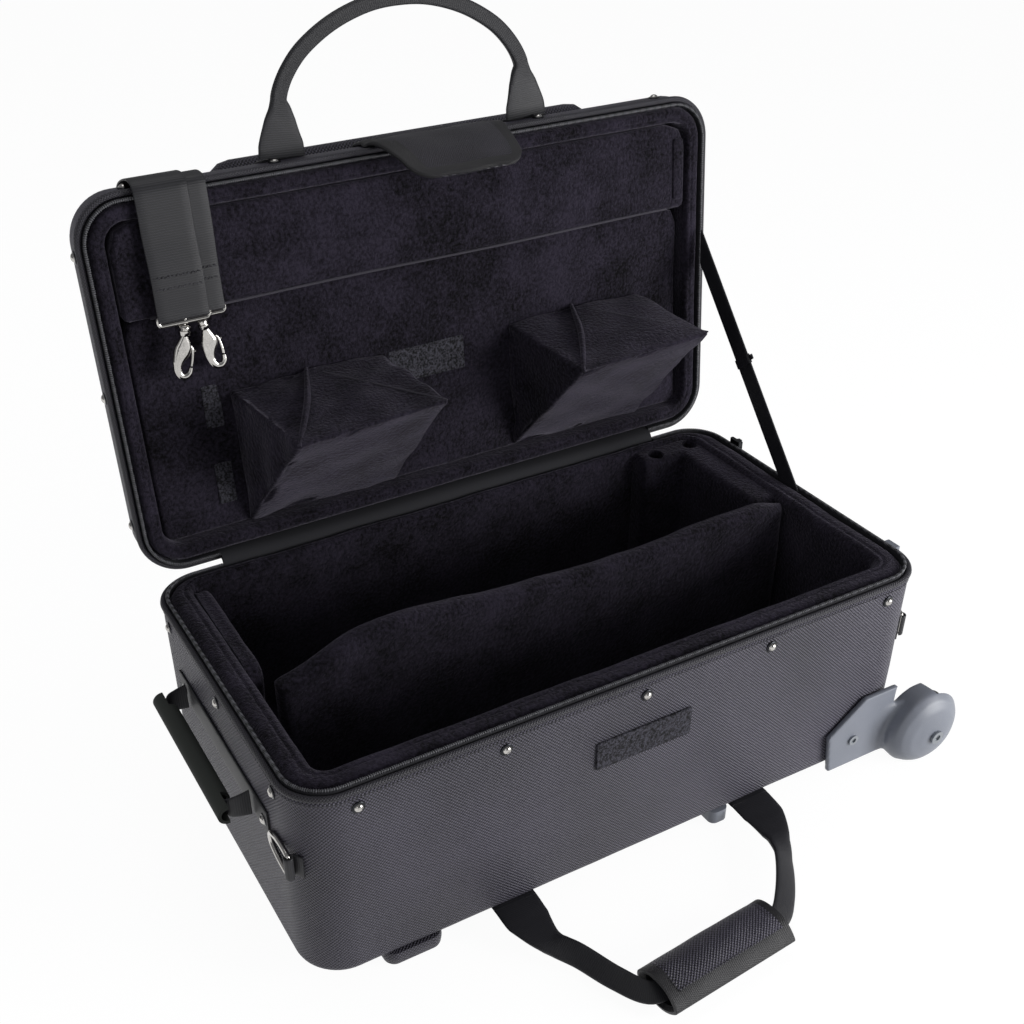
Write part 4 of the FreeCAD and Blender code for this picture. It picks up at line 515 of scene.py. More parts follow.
def tube_piece(
    name: str, path: Array, radius: float | Array, place: Place, looped: bool = False, sides: int = 12
) -> Piece:
    """A round bar along a path: path + r (cos a, sin a) in the plane across it.

    Args:
        name: the piece's name.
        path: places of the bar's middle line.
        radius: one radius for all places or one each.
        place: turns places into the frame's metres.
        looped: whether the bar runs round and meets itself.
        sides: samples round the bar.

    Returns:
        The bar.
    """
    reach = np.broadcast_to(np.asarray(radius, float), (len(path),))
    hint = np.eye(3)[int(np.argmin(np.ptp(path, axis=0)))]
    if looped:
        spokes = path - path.mean(0)
        hint = unit(np.cross(spokes, np.roll(spokes, -1, 0)).sum(0))
        path, reach = (np.concatenate([row[-1:], row, row[:1]]) for row in (path, reach))
    points = swept(path, oval(2, 2, sides)[None] * reach[:, None, None], hint)
    return grid_piece(name, points[1:-1] if looped else points, place, looped=looped)


def joined(name: str, pieces: list[Piece]) -> Piece:
    """Several objects made one, with their first object's UV map kept."""
    with bpy.context.temp_override(active_object=pieces[0], selected_editable_objects=pieces):
        bpy.ops.object.join()
    pieces[0].name = name
    pieces[0].data.name = name
    return pieces[0]


def modify(piece: Piece, kind: str, **settings: object) -> None:
    """Add a modifier of a kind with its settings."""
    made = piece.modifiers.new(kind.lower(), kind)
    for key, value in settings.items():
        setattr(made, key, value)


def applied(piece: Piece, cutters: Iterable[Piece] = ()) -> Piece:
    """The object with its modifiers turned into its mesh, and its cutters removed."""
    view = bpy.context.evaluated_depsgraph_get()
    finished = bpy.data.meshes.new_from_object(piece.evaluated_get(view))
    piece.modifiers.clear()
    old = piece.data
    piece.data = finished
    bpy.data.meshes.remove(old)
    for cutter in cutters:
        bpy.data.objects.remove(cutter)
    return piece


def stitch_row(name: str, path: Array, out: Array | Spot, place: Place, pitch: float = 3.6) -> Piece:
    """A row of stitches: short thread humps along a path.

    Each stitch is a thin tube whose height above the path is sin(pi s) over its length.
    They are one mesh, a grid per stitch with four faces round its three steps.

    Args:
        name: the piece's name.
        path: places along the seam.
        out: direction away from the cloth, one for all places or one each.
        place: turns places into the frame's metres.
        pitch: length of one stitch and its gap.

    Returns:
        The joined stitches.
    """
    count = max(int(distances(path)[-1] / pitch), 2)
    steps, sides, fine, near = 4, 4, 2000, 8
    inside = np.linspace(STITCH_START_SHARE, 1 - STITCH_START_SHARE, steps)
    shares = (np.arange(count)[:, None] + inside[None]) / count
    line = resampled(path, fine)
    index = np.clip((shares * (fine - 1)).astype(int), 0, fine - 1)
    raised = resampled(np.broadcast_to(np.asarray(out, float), path.shape), fine)[index]
    hump = np.sin(np.linspace(0, HALF_TURN, steps)) * STITCH_RISE - STITCH_SINK
    centre = line[index] + raised * hump[None, :, None]
    after, before = (np.clip(index + step, 0, fine - 1) for step in (near, -near))
    side = unit(np.cross(unit(line[after] - line[before]), raised))
    ring = oval(THREAD_SIZE, THREAD_SIZE, sides)
    points = centre[:, :, None] + side[:, :, None] * ring[:, :1] + raised[:, :, None] * ring[:, 1:]
    first = (np.arange(count) * steps * sides)[:, None, None, None]
    i = first + np.arange(steps - 1)[None, :, None, None] * sides
    j = np.arange(sides)[None, None, :, None]
    beside = (j + 1) % sides
    quad = np.concatenate([i + j, i + beside, i + sides + beside, i + sides + j], -1)
    ends = np.stack([np.arange(sides)[::-1], np.arange(sides) + (steps - 1) * sides])[None]
    faces = np.vstack([quad.reshape(-1, 4), (ends + first[:, :, :, 0]).reshape(-1, 4)])
    mesh = bpy.data.meshes.new(name)
    mesh.from_pydata(place(points.reshape(-1, 3)).tolist(), [], faces.tolist())
    smoothed(mesh)
    return mesh_object(name, mesh)


# Finishes


def linear(code: str) -> tuple[float, float, float, float]:
    """An sRGB hex colour as linear values with full alpha."""
    values = [int(code[i : i + 2], 16) / 255 for i in (1, 3, 5)]
    return (*(v / 12.92 if v <= 0.04045 else ((v + 0.055) / 1.055) ** 2.4 for v in values), 1.0)


def add_node(
    tree: Tree, kind: str, inputs: dict[str | int, object] | None = None, **settings: object
) -> bpy.types.NodeOutputs:
    """Add a shader node, set its options, and give its inputs values or links.

    Args:
        tree: the node tree.
        kind: the node's type without its common start.
        inputs: a value or a socket for each input.
        settings: the node's options.

    Returns:
        The node's outputs.
    """
    made = tree.nodes.new("ShaderNode" + kind)
    for key, value in settings.items():
        setattr(made, key, value)
    for key, value in (inputs or {}).items():
        if isinstance(value, Socket):
            tree.links.new(value, made.inputs[key])
        else:
            made.inputs[key].default_value = value
    return made.outputs


def new_tree(owner: bpy.types.Material | bpy.types.World) -> Tree:
    """An empty node tree for a material or a world."""
    owner.use_nodes = True
    owner.node_tree.nodes.clear()
    return owner.node_tree


class Pattern(Enum):
    """How a finish's surface is built up."""

    BALLISTIC = "basket weave of thick yarn"
    WEBBING = "ribbed narrow weave"
    TAPE = "fine plain weave"
    PLUSH = "short pile"
    LOOPS = "curled loops"
    MOULDED = "fine moulding grain"
    POLISHED = "bright plating"
    RUBBER = "soft moulded skin"
    COIL = "drawn filament"


WOVEN = (Pattern.BALLISTIC, Pattern.WEBBING, Pattern.TAPE)

# Share of the colour that follows the fine pattern, and the swing of the roughness
PATTERN_SHARE = 0.55
ROUGHNESS_SWING = 0.08

# How far a yarn strays, in radians of the weave, how often, and the weft's count against the warp's
YARN_STRAY = 1.6
STRAYS_PER_METRE = 260.0
WEFT_SHARE = 0.62


@dataclass(frozen=True)
class Finish:
    """One surface finish and how its node material is built."""

    name: str
    pattern: Pattern
    colour: str
    shade: str
    roughness: float
    pitch_mm: float = 1.0
    depth_mm: float = 0.2
    mottle_mm: float = 60.0
    metallic: float = 0.0
    sheen: float = 0.0
    sheen_colour: str = "#8a8690"
    specular: float = 0.5
    spread: float = 0.22

    def weave(self, tree: Tree, place: Socket, cloth: Socket) -> Socket:
        """Height of crossing yarns: 0.5 + 0.5 sin x sin y, with more weft on webbing."""
        turn = TURN / (self.pitch_mm * METRES)
        parts = add_node(tree, "SeparateXYZ", {0: cloth})
        wander = add_node(tree, "TexNoise", {"Vector": place, "Scale": STRAYS_PER_METRE, "Detail": 1.0})[0]
        slip = add_node(tree, "Math", {0: wander, 1: YARN_STRAY}, operation="MULTIPLY")[0]
        across = add_node(tree, "Math", {0: parts[0], 1: turn, 2: slip}, operation="MULTIPLY_ADD")[0]
        rib = 1.0 if self.pattern is Pattern.BALLISTIC else WEFT_SHARE
        along = add_node(tree, "Math", {0: parts[1], 1: turn * rib}, operation="MULTIPLY")[0]
        warp = add_node(tree, "Math", {0: across}, operation="SINE")[0]
        weft = add_node(tree, "Math", {0: along}, operation="SINE")[0]
        crossing = add_node(tree, "Math", {0: warp, 1: weft}, operation="MULTIPLY")[0]
        if self.pattern is Pattern.WEBBING:
            ribs = add_node(tree, "Math", {0: weft, 1: 0.6}, operation="MULTIPLY")[0]
            crossing = add_node(tree, "Math", {0: crossing, 1: 0.5, 2: ribs}, operation="MULTIPLY_ADD")[0]
        return add_node(tree, "Math", {0: crossing, 1: 0.5, 2: 0.5}, operation="MULTIPLY_ADD")[0]

    def height(self, tree: Tree, place: Socket, cloth: Socket) -> Socket:
        """Height of the surface's fine pattern, about 0 to 1."""
        if self.pattern in WOVEN:
            return self.weave(tree, place, cloth)
        per_metre = 1.0 / (self.pitch_mm * METRES)
        # Bands along the map's second axis, once a pitch: on the zip coil they paint a highlight on each turn
        if self.pattern is Pattern.COIL:
            along = add_node(tree, "SeparateXYZ", {0: cloth})[1]
            phase = add_node(tree, "Math", {0: along, 1: TURN * per_metre}, operation="MULTIPLY")[0]
            wave = add_node(tree, "Math", {0: phase}, operation="COSINE")[0]
            return add_node(tree, "Math", {0: wave, 1: 0.5, 2: 0.5}, operation="MULTIPLY_ADD")[0]
        detail = 3.0 if self.pattern in (Pattern.PLUSH, Pattern.LOOPS) else 1.5
        inputs = {"Vector": place, "Scale": per_metre, "Detail": detail, "Roughness": 0.65}
        return add_node(tree, "TexNoise", inputs)[0]

    def build(self) -> bpy.types.Material:
        """Make the material: pattern and mottling drive colour, roughness and bump."""
        material = bpy.data.materials.new(self.name)
        tree = new_tree(material)
        spots = add_node(tree, "TexCoord")
        place = spots["Object"]
        height = self.height(tree, place, spots["UV"])
        inputs = {"Vector": place, "Scale": 1.0 / (self.mottle_mm * METRES), "Detail": 4.0, "Roughness": 0.55}
        mottle = add_node(tree, "TexNoise", inputs)[0]
        slow = add_node(tree, "Math", {0: mottle, 1: 1 - PATTERN_SHARE}, operation="MULTIPLY")[0]
        mixed = add_node(tree, "Math", {0: height, 1: PATTERN_SHARE, 2: slow}, operation="MULTIPLY_ADD")[0]
        colours = add_node(tree, "ValToRGB", {"Fac": mixed})[0]
        ends = zip(colours.node.color_ramp.elements, (self.shade, self.colour), (-1, 1))
        for end, colour, side in ends:
            end.position = 0.5 + side * self.spread
            end.color = linear(colour)
        low = max(self.roughness - ROUGHNESS_SWING, 0.02)
        high = min(self.roughness + ROUGHNESS_SWING, 1.0)
        bump = {"Height": height, "Distance": self.depth_mm * METRES, "Strength": 1.0}
        inputs = {
            "Base Color": colours,
            "Roughness": add_node(tree, "MapRange", {"Value": mottle, "To Min": low, "To Max": high})[0],
            "Normal": add_node(tree, "Bump", bump)[0],
            "Metallic": self.metallic,
            "Specular IOR Level": self.specular,
            "Sheen Weight": self.sheen,
            "Sheen Roughness": 0.45,
            "Sheen Tint": linear(self.sheen_colour),
        }
        shader = add_node(tree, "BsdfPrincipled", inputs)[0]
        add_node(tree, "OutputMaterial", {"Surface": shader})
        return material


class Finishes(Enum):
    """Every finish on the case. The yarns are drawn as coarse as they show."""

    # 1680-denier ballistic nylon: matt grey-black with a small glint on each yarn
    NYLON = Finish(
        "ballistic_nylon", Pattern.BALLISTIC, "#5a5765", "#0d0c11", 0.48, 3.1, 1.0, 140.0,
        sheen=0.06, specular=0.42,
    )
    # The same cloth on the flap and the rims' welts, where it is drawn tighter
    FLAP = Finish(
        "flap_nylon", Pattern.BALLISTIC, "#35333d", "#0b0a0d", 0.5, 2.4, 0.5, 60.0,
        sheen=0.05, spread=0.18,
    )
    # Nylon binding: finer, darker and a little smoother
    BINDING = Finish("binding_tape", Pattern.TAPE, "#212024", "#0c0b0d", 0.55, 1.6, 0.2, 30.0, sheen=0.06)
    # Polyester zip tape: fine flat weave
    TAPE = Finish("zip_tape", Pattern.TAPE, "#131316", "#070708", 0.75, 1.4, 0.15, 30.0, specular=0.2)
    # Nylon coil: smooth dark filament; the bright line on each turn is a painted highlight, its colour banded
    # pale once a turn
    COIL = Finish("nylon_coil", Pattern.COIL, "#5d5d63", "#0b0b0c", 0.38, 2.0, 0.05, 20.0)
    # Velour plush on foam: near black, with a cool sheen where the pile leans
    PLUSH = Finish(
        "velour_plush", Pattern.PLUSH, "#302c38", "#020202", 0.92, 2.8, 1.5, 45.0,
        sheen=0.7, sheen_colour="#86828f", specular=0.1, spread=0.13,
    )
    # Painted highlight: velour far paler than the plush, for the upper panel's rolled hem and the wedges'
    # sewn edges, where these edges catch the light
    PAINTED_EDGE_HIGHLIGHT = Finish("velour_edge_painted_highlight", Pattern.TAPE, "#45424c", "#29272f", 0.85, 1.4, 0.2, 30.0, sheen=0.4)
    # Polypropylene webbing: ribbed, slightly glossy, blue-black
    WEBBING = Finish(
        "polypropylene_webbing", Pattern.WEBBING, "#26262c", "#101013", 0.54, 1.15, 0.14, 50.0, sheen=0.06
    )
    # Loop half of hook-and-loop: curled fibres, matt with light ends
    LOOPS = Finish(
        "loop_pile", Pattern.LOOPS, "#47464f", "#030304", 0.85, 1.7, 1.6, 3.4,
        sheen=0.1, specular=0.3, spread=0.09,
    )
    # Polypropylene moulding: mid grey with a blue cast and a fine spark-eroded grain
    MOULDING = Finish("grey_polypropylene", Pattern.MOULDED, "#868a94", "#737781", 0.42, 0.45, 0.03, 40.0)
    # Black nylon moulding of the wheel hubs: a soft gloss on a fine grain
    HUB = Finish("black_nylon_moulding", Pattern.MOULDED, "#2a2b2d", "#1b1c1e", 0.45, 0.5, 0.03, 30.0)
    # Solid polyurethane tyre: dark and matt, dusty in places
    TYRE = Finish("tyre_rubber", Pattern.RUBBER, "#2b2c2e", "#1d1e1f", 0.7, 0.8, 0.05, 18.0)
    # PVC grip tube: smooth green-black skin
    GRIP = Finish("grip_rubber", Pattern.RUBBER, "#1a1e1e", "#111313", 0.32, 0.9, 0.03, 40.0)
    # Nickel-plated die casting and wire: bright, with faint handling marks
    NICKEL = Finish(
        "nickel_plating", Pattern.POLISHED, "#d2cfcb", "#9c9a97", 0.08, 0.8, 0.001, 12.0, metallic=1.0
    )
    # Black nickel of the rivets' washers, the zip's slider and its pull: a dark mirror
    RIVET = Finish(
        "black_nickel", Pattern.POLISHED, "#3a3b3e", "#242528", 0.24, 0.8, 0.004, 10.0, metallic=1.0
    )
    # Zinc-plated bolts: pale, with a dull shine
    ZINC = Finish("zinc_plating", Pattern.POLISHED, "#a9adb2", "#8b8f94", 0.34, 0.6, 0.01, 8.0, metallic=1.0)
    # Bonded sewing thread: slightly glossy, near black
    THREAD = Finish("bonded_thread", Pattern.COIL, "#3c3b41", "#1c1b1f", 0.5, 1.0, 0.02, 10.0)

    def material(self) -> bpy.types.Material:
        """This finish's material, made on first use."""
        return bpy.data.materials.get(self.value.name) or self.value.build()


def dress(piece: Piece, finish: Finishes, body: str, replaces: Iterable[str] = ()) -> Piece:
    """Give a new piece its finish, the body it rides on and the solids it stands for."""
    piece.data.materials.clear()
    piece.data.materials.append(finish.material())
    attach(piece, body)
    if replaces:
        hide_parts(*replaces)
    LOG.info("%s: %d faces on %s", piece.name, len(piece.data.polygons), body)
    return piece


def banded(piece: Piece, finish: Finishes, band: Array) -> None:
    """Give the quads of a grid piece that band marks a second finish."""
    piece.data.materials.append(finish.material())
    index = np.zeros(len(piece.data.polygons), np.int32)
    index[: band.size] = band.ravel()
    piece.data.polygons.foreach_set("material_index", index)


# Sub-assemblies


@dataclass
class Assembly:
    """A group of pieces that are worked out in the case's own places."""

    case: Case

    def add(
        self, name: str, points: Array, finish: Finishes, body: str, slot: str,
        replaces: Iterable[str] = (), fill: float | None = None, **shape: object,
    ) -> Piece:
        """Make and dress a piece from a grid of places.

        Args:
            name: the piece's name.
            points: rows x columns x 3 places in millimetres.
            finish: its finish.
            body: the body it rides on.
            slot: name of its material slot; not used.
            replaces: the solids it stands for.
            fill: how full its padding is, for a padded piece; not used.
            shape: further settings of grid_piece.

        Returns:
            The piece.
        """
        piece = dress(grid_piece(name, points, self.case.place(body), **shape), finish, body, replaces)
        return piece

    def tube(
        self, name: str, path: Array, radius: float | Array, finish: Finishes, body: str, slot: str,
        replaces: Iterable[str] = (), **shape: object,
    ) -> None:
        """Make and dress a round bar along a path."""
        dress(tube_piece(name, path, radius, self.case.place(body), **shape), finish, body, replaces)

    def band(
        self, name: str, path: Array, size: Spot, way: Array | Spot, body: str, replaces: Iterable[str],
        slot: str = "webbing", finish: Finishes = Finishes.WEBBING,
    ) -> None:
        """Lay and dress a flat band of a size (width, thickness) whose width runs the given way."""
        self.add(name, swept(path, webbing_section(*size), way), finish, body, slot, replaces)

    def coil(self, name: str, path: Array, body: str, replaces: Iterable[str] = ()) -> None:
        """Coil zip along a path: an oval bar whose size swells by 1 + 0.28 cos at each turn.

        Args:
            name: the piece's name.
            path: places along the zip.
            body: the body it rides on.
            replaces: the solids it stands for.
        """
        turns = int(distances(path)[-1] / COIL_PITCH)
        swell = 1 + COIL_SWELL_SHARE * np.cos(np.arange(turns * 4) * QUARTER)
        section = oval(*COIL_SIZE, 8)[None] * swell[:, None, None]
        points = swept(resampled(path, turns * 4), section, UP)
        self.add(name, points, Finishes.COIL, body, "zip_coil", replaces, sharp_deg=80)

    def bend(
        self, piece: Piece, finish: Finishes, bodies: tuple[str, str], ends: Iterable[Array | Spot],
        slot: str, replaces: Iterable[str],
    ) -> None:
        """Give a new piece its finish and hide the solids it stands for; it is given no body and does not
        bend.

        Args:
            piece: the finished piece.
            finish: its finish.
            bodies: the two bodies that one joint joins.
            ends: places where the first body's hold ends and the second's begins.
            slot: name of its material slot; not used.
            replaces: the solids it stands for.
        """
        piece.data.materials.append(finish.material())
        place = self.case.place(bodies[0])
        start, end = (tuple(place(np.asarray(spot, float))) for spot in ends)
        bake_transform(piece)
        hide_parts(*replaces)
        LOG.info("%s bends between %s and %s", piece.name, *bodies)


@dataclass
class Shells(Assembly):
    """Nylon over board: the base, the lid and the lid's outer pocket."""

    bottom_round: float = 8.0
    reach: float = 150.0
    sag: float = 0.45
    pocket_plan: Plan = Plan(250.0, 136.0, 30.0)
    pocket_height: float = 22.0
    pocket_skirt: float = 3.0
    pocket_reach: float = 128.0
    bulge: float = 19.0
    bulge_rise_share: float = 0.15
    bulge_centre: float = 20.0
    bulge_half: float = 165.0

    def base(self) -> None:
        """Base shell: underside, rounded edge, sagging wall, folded top and plain inside."""
        edge = self.bottom_round
        turn = np.linspace(0, QUARTER, 7)
        rise = np.linspace(0, 1, 26)[1:-1]
        low = GROUND_GAP + edge
        inset, z = profile(
            (np.linspace(self.reach, edge + 4, 8), GROUND_GAP),
            (edge * (1 - np.sin(turn)), low - edge * np.cos(turn)),
            (0, low + rise * (SHELL_TOP - 4 - low)),
            (FOLD[:, 0], SHELL_TOP - FOLD[:, 1]),
            (WALL, (SHELL_TOP, 120, 24)),
            (np.linspace(10, self.reach, 4), 23),
        )
        points = BODY.rings(inset, z)
        # Only the rings between the underside and the fold sag
        depth = np.zeros(len(z))
        depth[8:40] = self.sag
        sunk = np.abs(ripple(points, 150, 1.0, 3)) * depth[:, None]
        points -= BODY.outward()[None] * sunk[..., None]
        self.add("base_cover", points, Finishes.NYLON, "base", "nylon", ["base_shell"], level_cloth=True)

    def lid(self) -> None:
        """Lid shell: inside, folded edge, wall, rounded edge and outer face of the same cloth."""
        turn = np.linspace(0, QUARTER, 14)
        rise = np.linspace(0, 1, 6)[1:]
        high = LID_TOP - LID_ROUND
        inner = LID_ROUND - WALL
        inset, z = profile(
            (np.linspace(self.reach, LID_ROUND + 4, 5), LID_TOP - WALL),
            ((LID_ROUND - inner * np.cos(turn))[::-1], (high + inner * np.sin(turn))[::-1]),
            (WALL, [LID_LOW]),
            (FOLD[::-1, 0], LID_LOW + FOLD[::-1, 1]),
            (0, LID_LOW + 4 + rise * (high - LID_LOW - 4)),
            (LID_ROUND * (1 - np.cos(turn))[1:], high + LID_ROUND * np.sin(turn)[1:]),
            (np.linspace(LID_ROUND + 6, self.reach, 8), LID_TOP),
        )
        points = BODY.rings(inset, z)
        self.add("lid_cover", points, Finishes.NYLON, "lid", "nylon", ["lid_shell"], level_cloth=True)

    def pocket(self) -> None:
        """Flat pocket on the lid's outer face, whose upper edge bulges in its middle."""
        plan, skirt, reach = self.pocket_plan, self.pocket_skirt, self.pocket_reach
        inset, rise = cushion_rings(self.pocket_height + skirt, 11.0, 1.5, reach, 0.6)
        points = plan.rings(inset, LID_TOP - skirt + rise)
        loose = (rise > 20) * np.clip((reach - inset) / 20, 0, 1)
        points[..., 2] += ripple(points, 90, 0.9, 8) * loose[:, None]
        aside = np.abs(points[..., 0] - self.bulge_centre) - self.bulge_half
        upper = blend_values(1.0, 0.0, (points[..., 1] + plan.half_y) / 60)
        full = blend_values(0.0, 1.0, rise / 10)[:, None]
        swell = self.bulge * blend_values(1.0, 0.0, aside / 35) * upper * full
        points[..., 1] -= swell
        points[..., 2] += self.bulge_rise_share * swell
        self.add(
            "lid_pocket_cover", points, Finishes.NYLON, "lid", "nylon", ["lid_outer_pocket"],
            fill=0.3, level_cloth=True,
        )

    def pocket_trim(self) -> None:
        """Welt and coil zip round the pocket's side."""
        welt = self.pocket_plan.rings([2.4], [LID_TOP + 18.0])[0]
        self.tube("lid_pocket_welt", welt, 1.6, Finishes.BINDING, "lid", "piping", looped=True, sides=8)
        self.coil("lid_pocket_coil", self.pocket_plan.open_line(-1.0, LID_TOP + 9.0, 200.0), "lid")

    def build(self) -> None:
        """Make the shells and the pocket."""
        self.base()
        self.lid()
        self.pocket()
        self.pocket_trim()


@dataclass
class Rim(Assembly):
    """Welt, zip tape and coil round both halves, and the fabric hinge."""

    shell_gap: float = 9.0
    welt_radius: float = 2.6
    welt_inset: float = 1.0
    tape_inset: float = 5.0
    tape_rise: float = 3.4
    coil_drop: float = 1.8
    seam_drop: float = 3.2
    gap_half: float = 225.0
    cloth_half: float = 0.8

    def half(self, name: str, direction: int) -> None:
        """The rim of one half of the case.

        Args:
            name: base or lid.
            direction: 1 where the rim is above its shell, -1 where it is below.
        """
        edge = RIM - direction * self.shell_gap
        welt = BODY.rings([self.welt_inset], [edge + direction * self.welt_radius])[0]
        finish, node = Finishes.FLAP, name + "_piping"
        self.tube(name + "_welt", welt, self.welt_radius, finish, name, "piping", [node], looped=True)
        tape = BODY.open_line(self.tape_inset, edge + direction * self.tape_rise, self.gap_half)[::4]
        self.band(name + "_tape", tape, (6.4, 2.2), UP, name, [name + "_zip_tape"], "zip_tape", Finishes.TAPE)
        coil = BODY.open_line(self.tape_inset, RIM - direction * self.coil_drop, self.gap_half)
        self.coil(name + "_coil", coil, name, [name + "_zip_coil"])
        seam = BODY.rings([-0.15], [edge - direction * self.seam_drop])[0]
        path, out = (np.vstack([ring, ring[:1]]) for ring in (seam, BODY.outward()))
        stitches = stitch_row(name + "_rim_stitches", path, out, self.case.place(name))
        dress(stitches, Finishes.THREAD, name)

    def hinge(self) -> None:
        """Fabric strip bent from the base's back edge to the lid's."""
        knots = [(151.9, 188), (151.9, 196), (152.6, 202), (156, 205.9), (163, 207.2), (172, 207.2)]
        line = curve_through(knots, 26)
        half = self.gap_half - 0.5
        normal = unit(np.stack([-np.gradient(line[:, 1]), np.gradient(line[:, 0])], -1)) * self.cloth_half
        loop = np.vstack([line + normal, (line - normal)[::-1]])
        x = np.linspace(-half, half, 60)[:, None]
        points = np.stack(np.broadcast_arrays(x, *loop.T[:, None]), -1)
        piece = grid_piece("hinge_cloth", points, self.case.base)
        ends = ((0, 152.0, 197.0), (0, 166.0, 207.0))
        self.bend(piece, Finishes.TAPE, ("base", "lid"), ends, "zip_tape", ["fabric_hinge"])

    def build(self) -> None:
        """Make both rims and the hinge."""
        self.half("base", 1)
        self.half("lid", -1)
        self.hinge()


@dataclass
class BaseInside(Assembly):
    """Plush padding of the base: lining, divider, bell pad and mouthpiece block."""

    lip_top: float = 201.0
    lip_height: float = 8.0
    floor: float = 33.3
    floor_round: float = 12.0
    seat: float = 0.4
    cavity_half_x: float = 260.7
    cavity_front: float = -127.7
    cavity_back: float = 139.7
    divider_y: float = -4.0
    divider_start: float = -243.0
    divider_end: float = 258.0
    divider_half: float = 10.0
    divider_tallest: float = 213.0
    divider_drop: float = 29.0
    block_top: float = 197.0
    hole_radius: float = 8.0
    hole_floor: float = 137.0

    def lining(self) -> None:
        """Padded lining: side, rounded lip with a sewn channel, inner wall and floor."""
        outer = Plan(HALF_LENGTH - LINING_INSET, HALF_WIDTH - LINING_INSET, CORNER - LINING_INSET)
        half_y = (self.cavity_back - self.cavity_front) / 2
        inner = Plan(self.cavity_half_x, half_y, 12.0, centre_y=(self.cavity_back + self.cavity_front) / 2)
        across, dome, channel = lip_shape(17, 3.4, (0.62, 0.05, 1.1))
        low = self.lip_top - self.lip_height
        lip_z = low + self.lip_height * dome - channel
        edges = (plan.rings(*profile((0, lip_z))) for plan in (outer, inner))
        lip = sum(edge * share[:, None, None] for edge, share in zip(edges, (1 - across, across)))
        side = outer.rings(*profile(((110, 40), 24), (0, np.linspace(24, low - 2, 4))))
        round_over, foot = self.floor_round, self.floor + self.floor_round
        turn = np.linspace(0, QUARTER, 6)
        inside = inner.rings(*profile(
            (0.9 * np.sin(np.linspace(0, HALF_TURN, 14)), np.linspace(low - 2, foot, 14)),
            (round_over * (1 - np.cos(turn)), foot - round_over * np.sin(turn)),
            (np.linspace(20, 125, 8), self.floor),
        ))
        points = np.concatenate([side, lip, inside])
        soft = slice(len(side), None)
        points[soft] += ripple(points[soft], 55, 0.55, 5)[..., None] * np.array([0.3, 0.3, 0.8])
        self.add(
            "base_padding", points, Finishes.PLUSH, "base", "plush", ["base_lining"], fill=0.6, sharp_deg=80
        )

    def top_line(self, x: Array) -> Array:
        """Height of the divider's top at each x, eased through places read from the photo."""
        share = (x - self.divider_start) / (self.divider_end - self.divider_start)
        known = (0.0, 0.05, 0.13, 0.22, 0.38, 0.54, 0.70, 0.86, 0.94, 1.0)
        drop = (1.0, 0.75, 0.12, 0.0, 0.30, 0.50, 0.55, 0.36, 0.30, 0.62)
        fine = np.linspace(0, 1, 200)
        window = np.hanning(15) / np.hanning(15).sum()
        rough = np.pad(np.interp(fine, known, drop), 7, mode="edge")
        eased = np.convolve(rough, window, mode="valid")
        return self.divider_tallest - self.divider_drop * np.interp(share, fine, eased)

    def divider(self) -> None:
        """Padded wall between the compartments: a rounded section carried along x.

        Each end is a half round: at u from the end, within the half thickness h, the
        half thickness there is sqrt(h^2 - (h - u)^2).
        """
        h, start, end = self.divider_half, self.divider_start, self.divider_end
        into = h * (1 - np.cos(np.linspace(0.12, QUARTER, 9)))
        middle = np.linspace(start + h, end - h, 74)[1:-1]
        x = np.concatenate([start + into, middle, end - into[::-1]])[:, None]
        half = np.sqrt(h**2 - np.clip(h - np.minimum(x - start, end - x), 0, None) ** 2)
        turn = np.linspace(0, HALF_TURN, 13)
        up = np.linspace(0, 1, 14)[:-1]
        sides = np.ones(13)
        y = np.concatenate([sides, np.cos(turn), -sides])
        level = np.concatenate([up, sides, up[::-1]])
        over = np.concatenate([0 * sides, np.sin(turn), 0 * sides])
        z = self.floor + self.seat + level * (self.top_line(x) - half - self.floor) + over * half
        swell = 1 + 0.09 * np.sin(level * HALF_TURN)
        points = np.stack(np.broadcast_arrays(x, self.divider_y + y * half * swell, z), -1)
        points[..., 1] += ripple(points, 48, 0.8, 12)
        points[..., 2] += ripple(points, 40, 0.7, 14) * (level > 0.9)
        self.add(
            "divider_padding", points, Finishes.PLUSH, "base", "plush", ["divider"], fill=0.7, sharp_deg=80
        )

    def bell_pad(self) -> None:
        """Upright pad at the left end of the back compartment."""
        plan = Plan(66.0, 81.7, 16.0, centre_x=73.4, centre_y=115.3, side_x=12, side_y=14)
        flat = plan.rings(*cushion_rings(13.0, 5.0, 1.2, 62.0, 0.4))
        points = np.stack([-260.4 + flat[..., 2], flat[..., 0], flat[..., 1]], -1)
        points[..., 0] += ripple(points, 40, 0.5, 21)
        self.add("bell_padding", points, Finishes.PLUSH, "base", "plush", ["bell_pad"], fill=0.7)

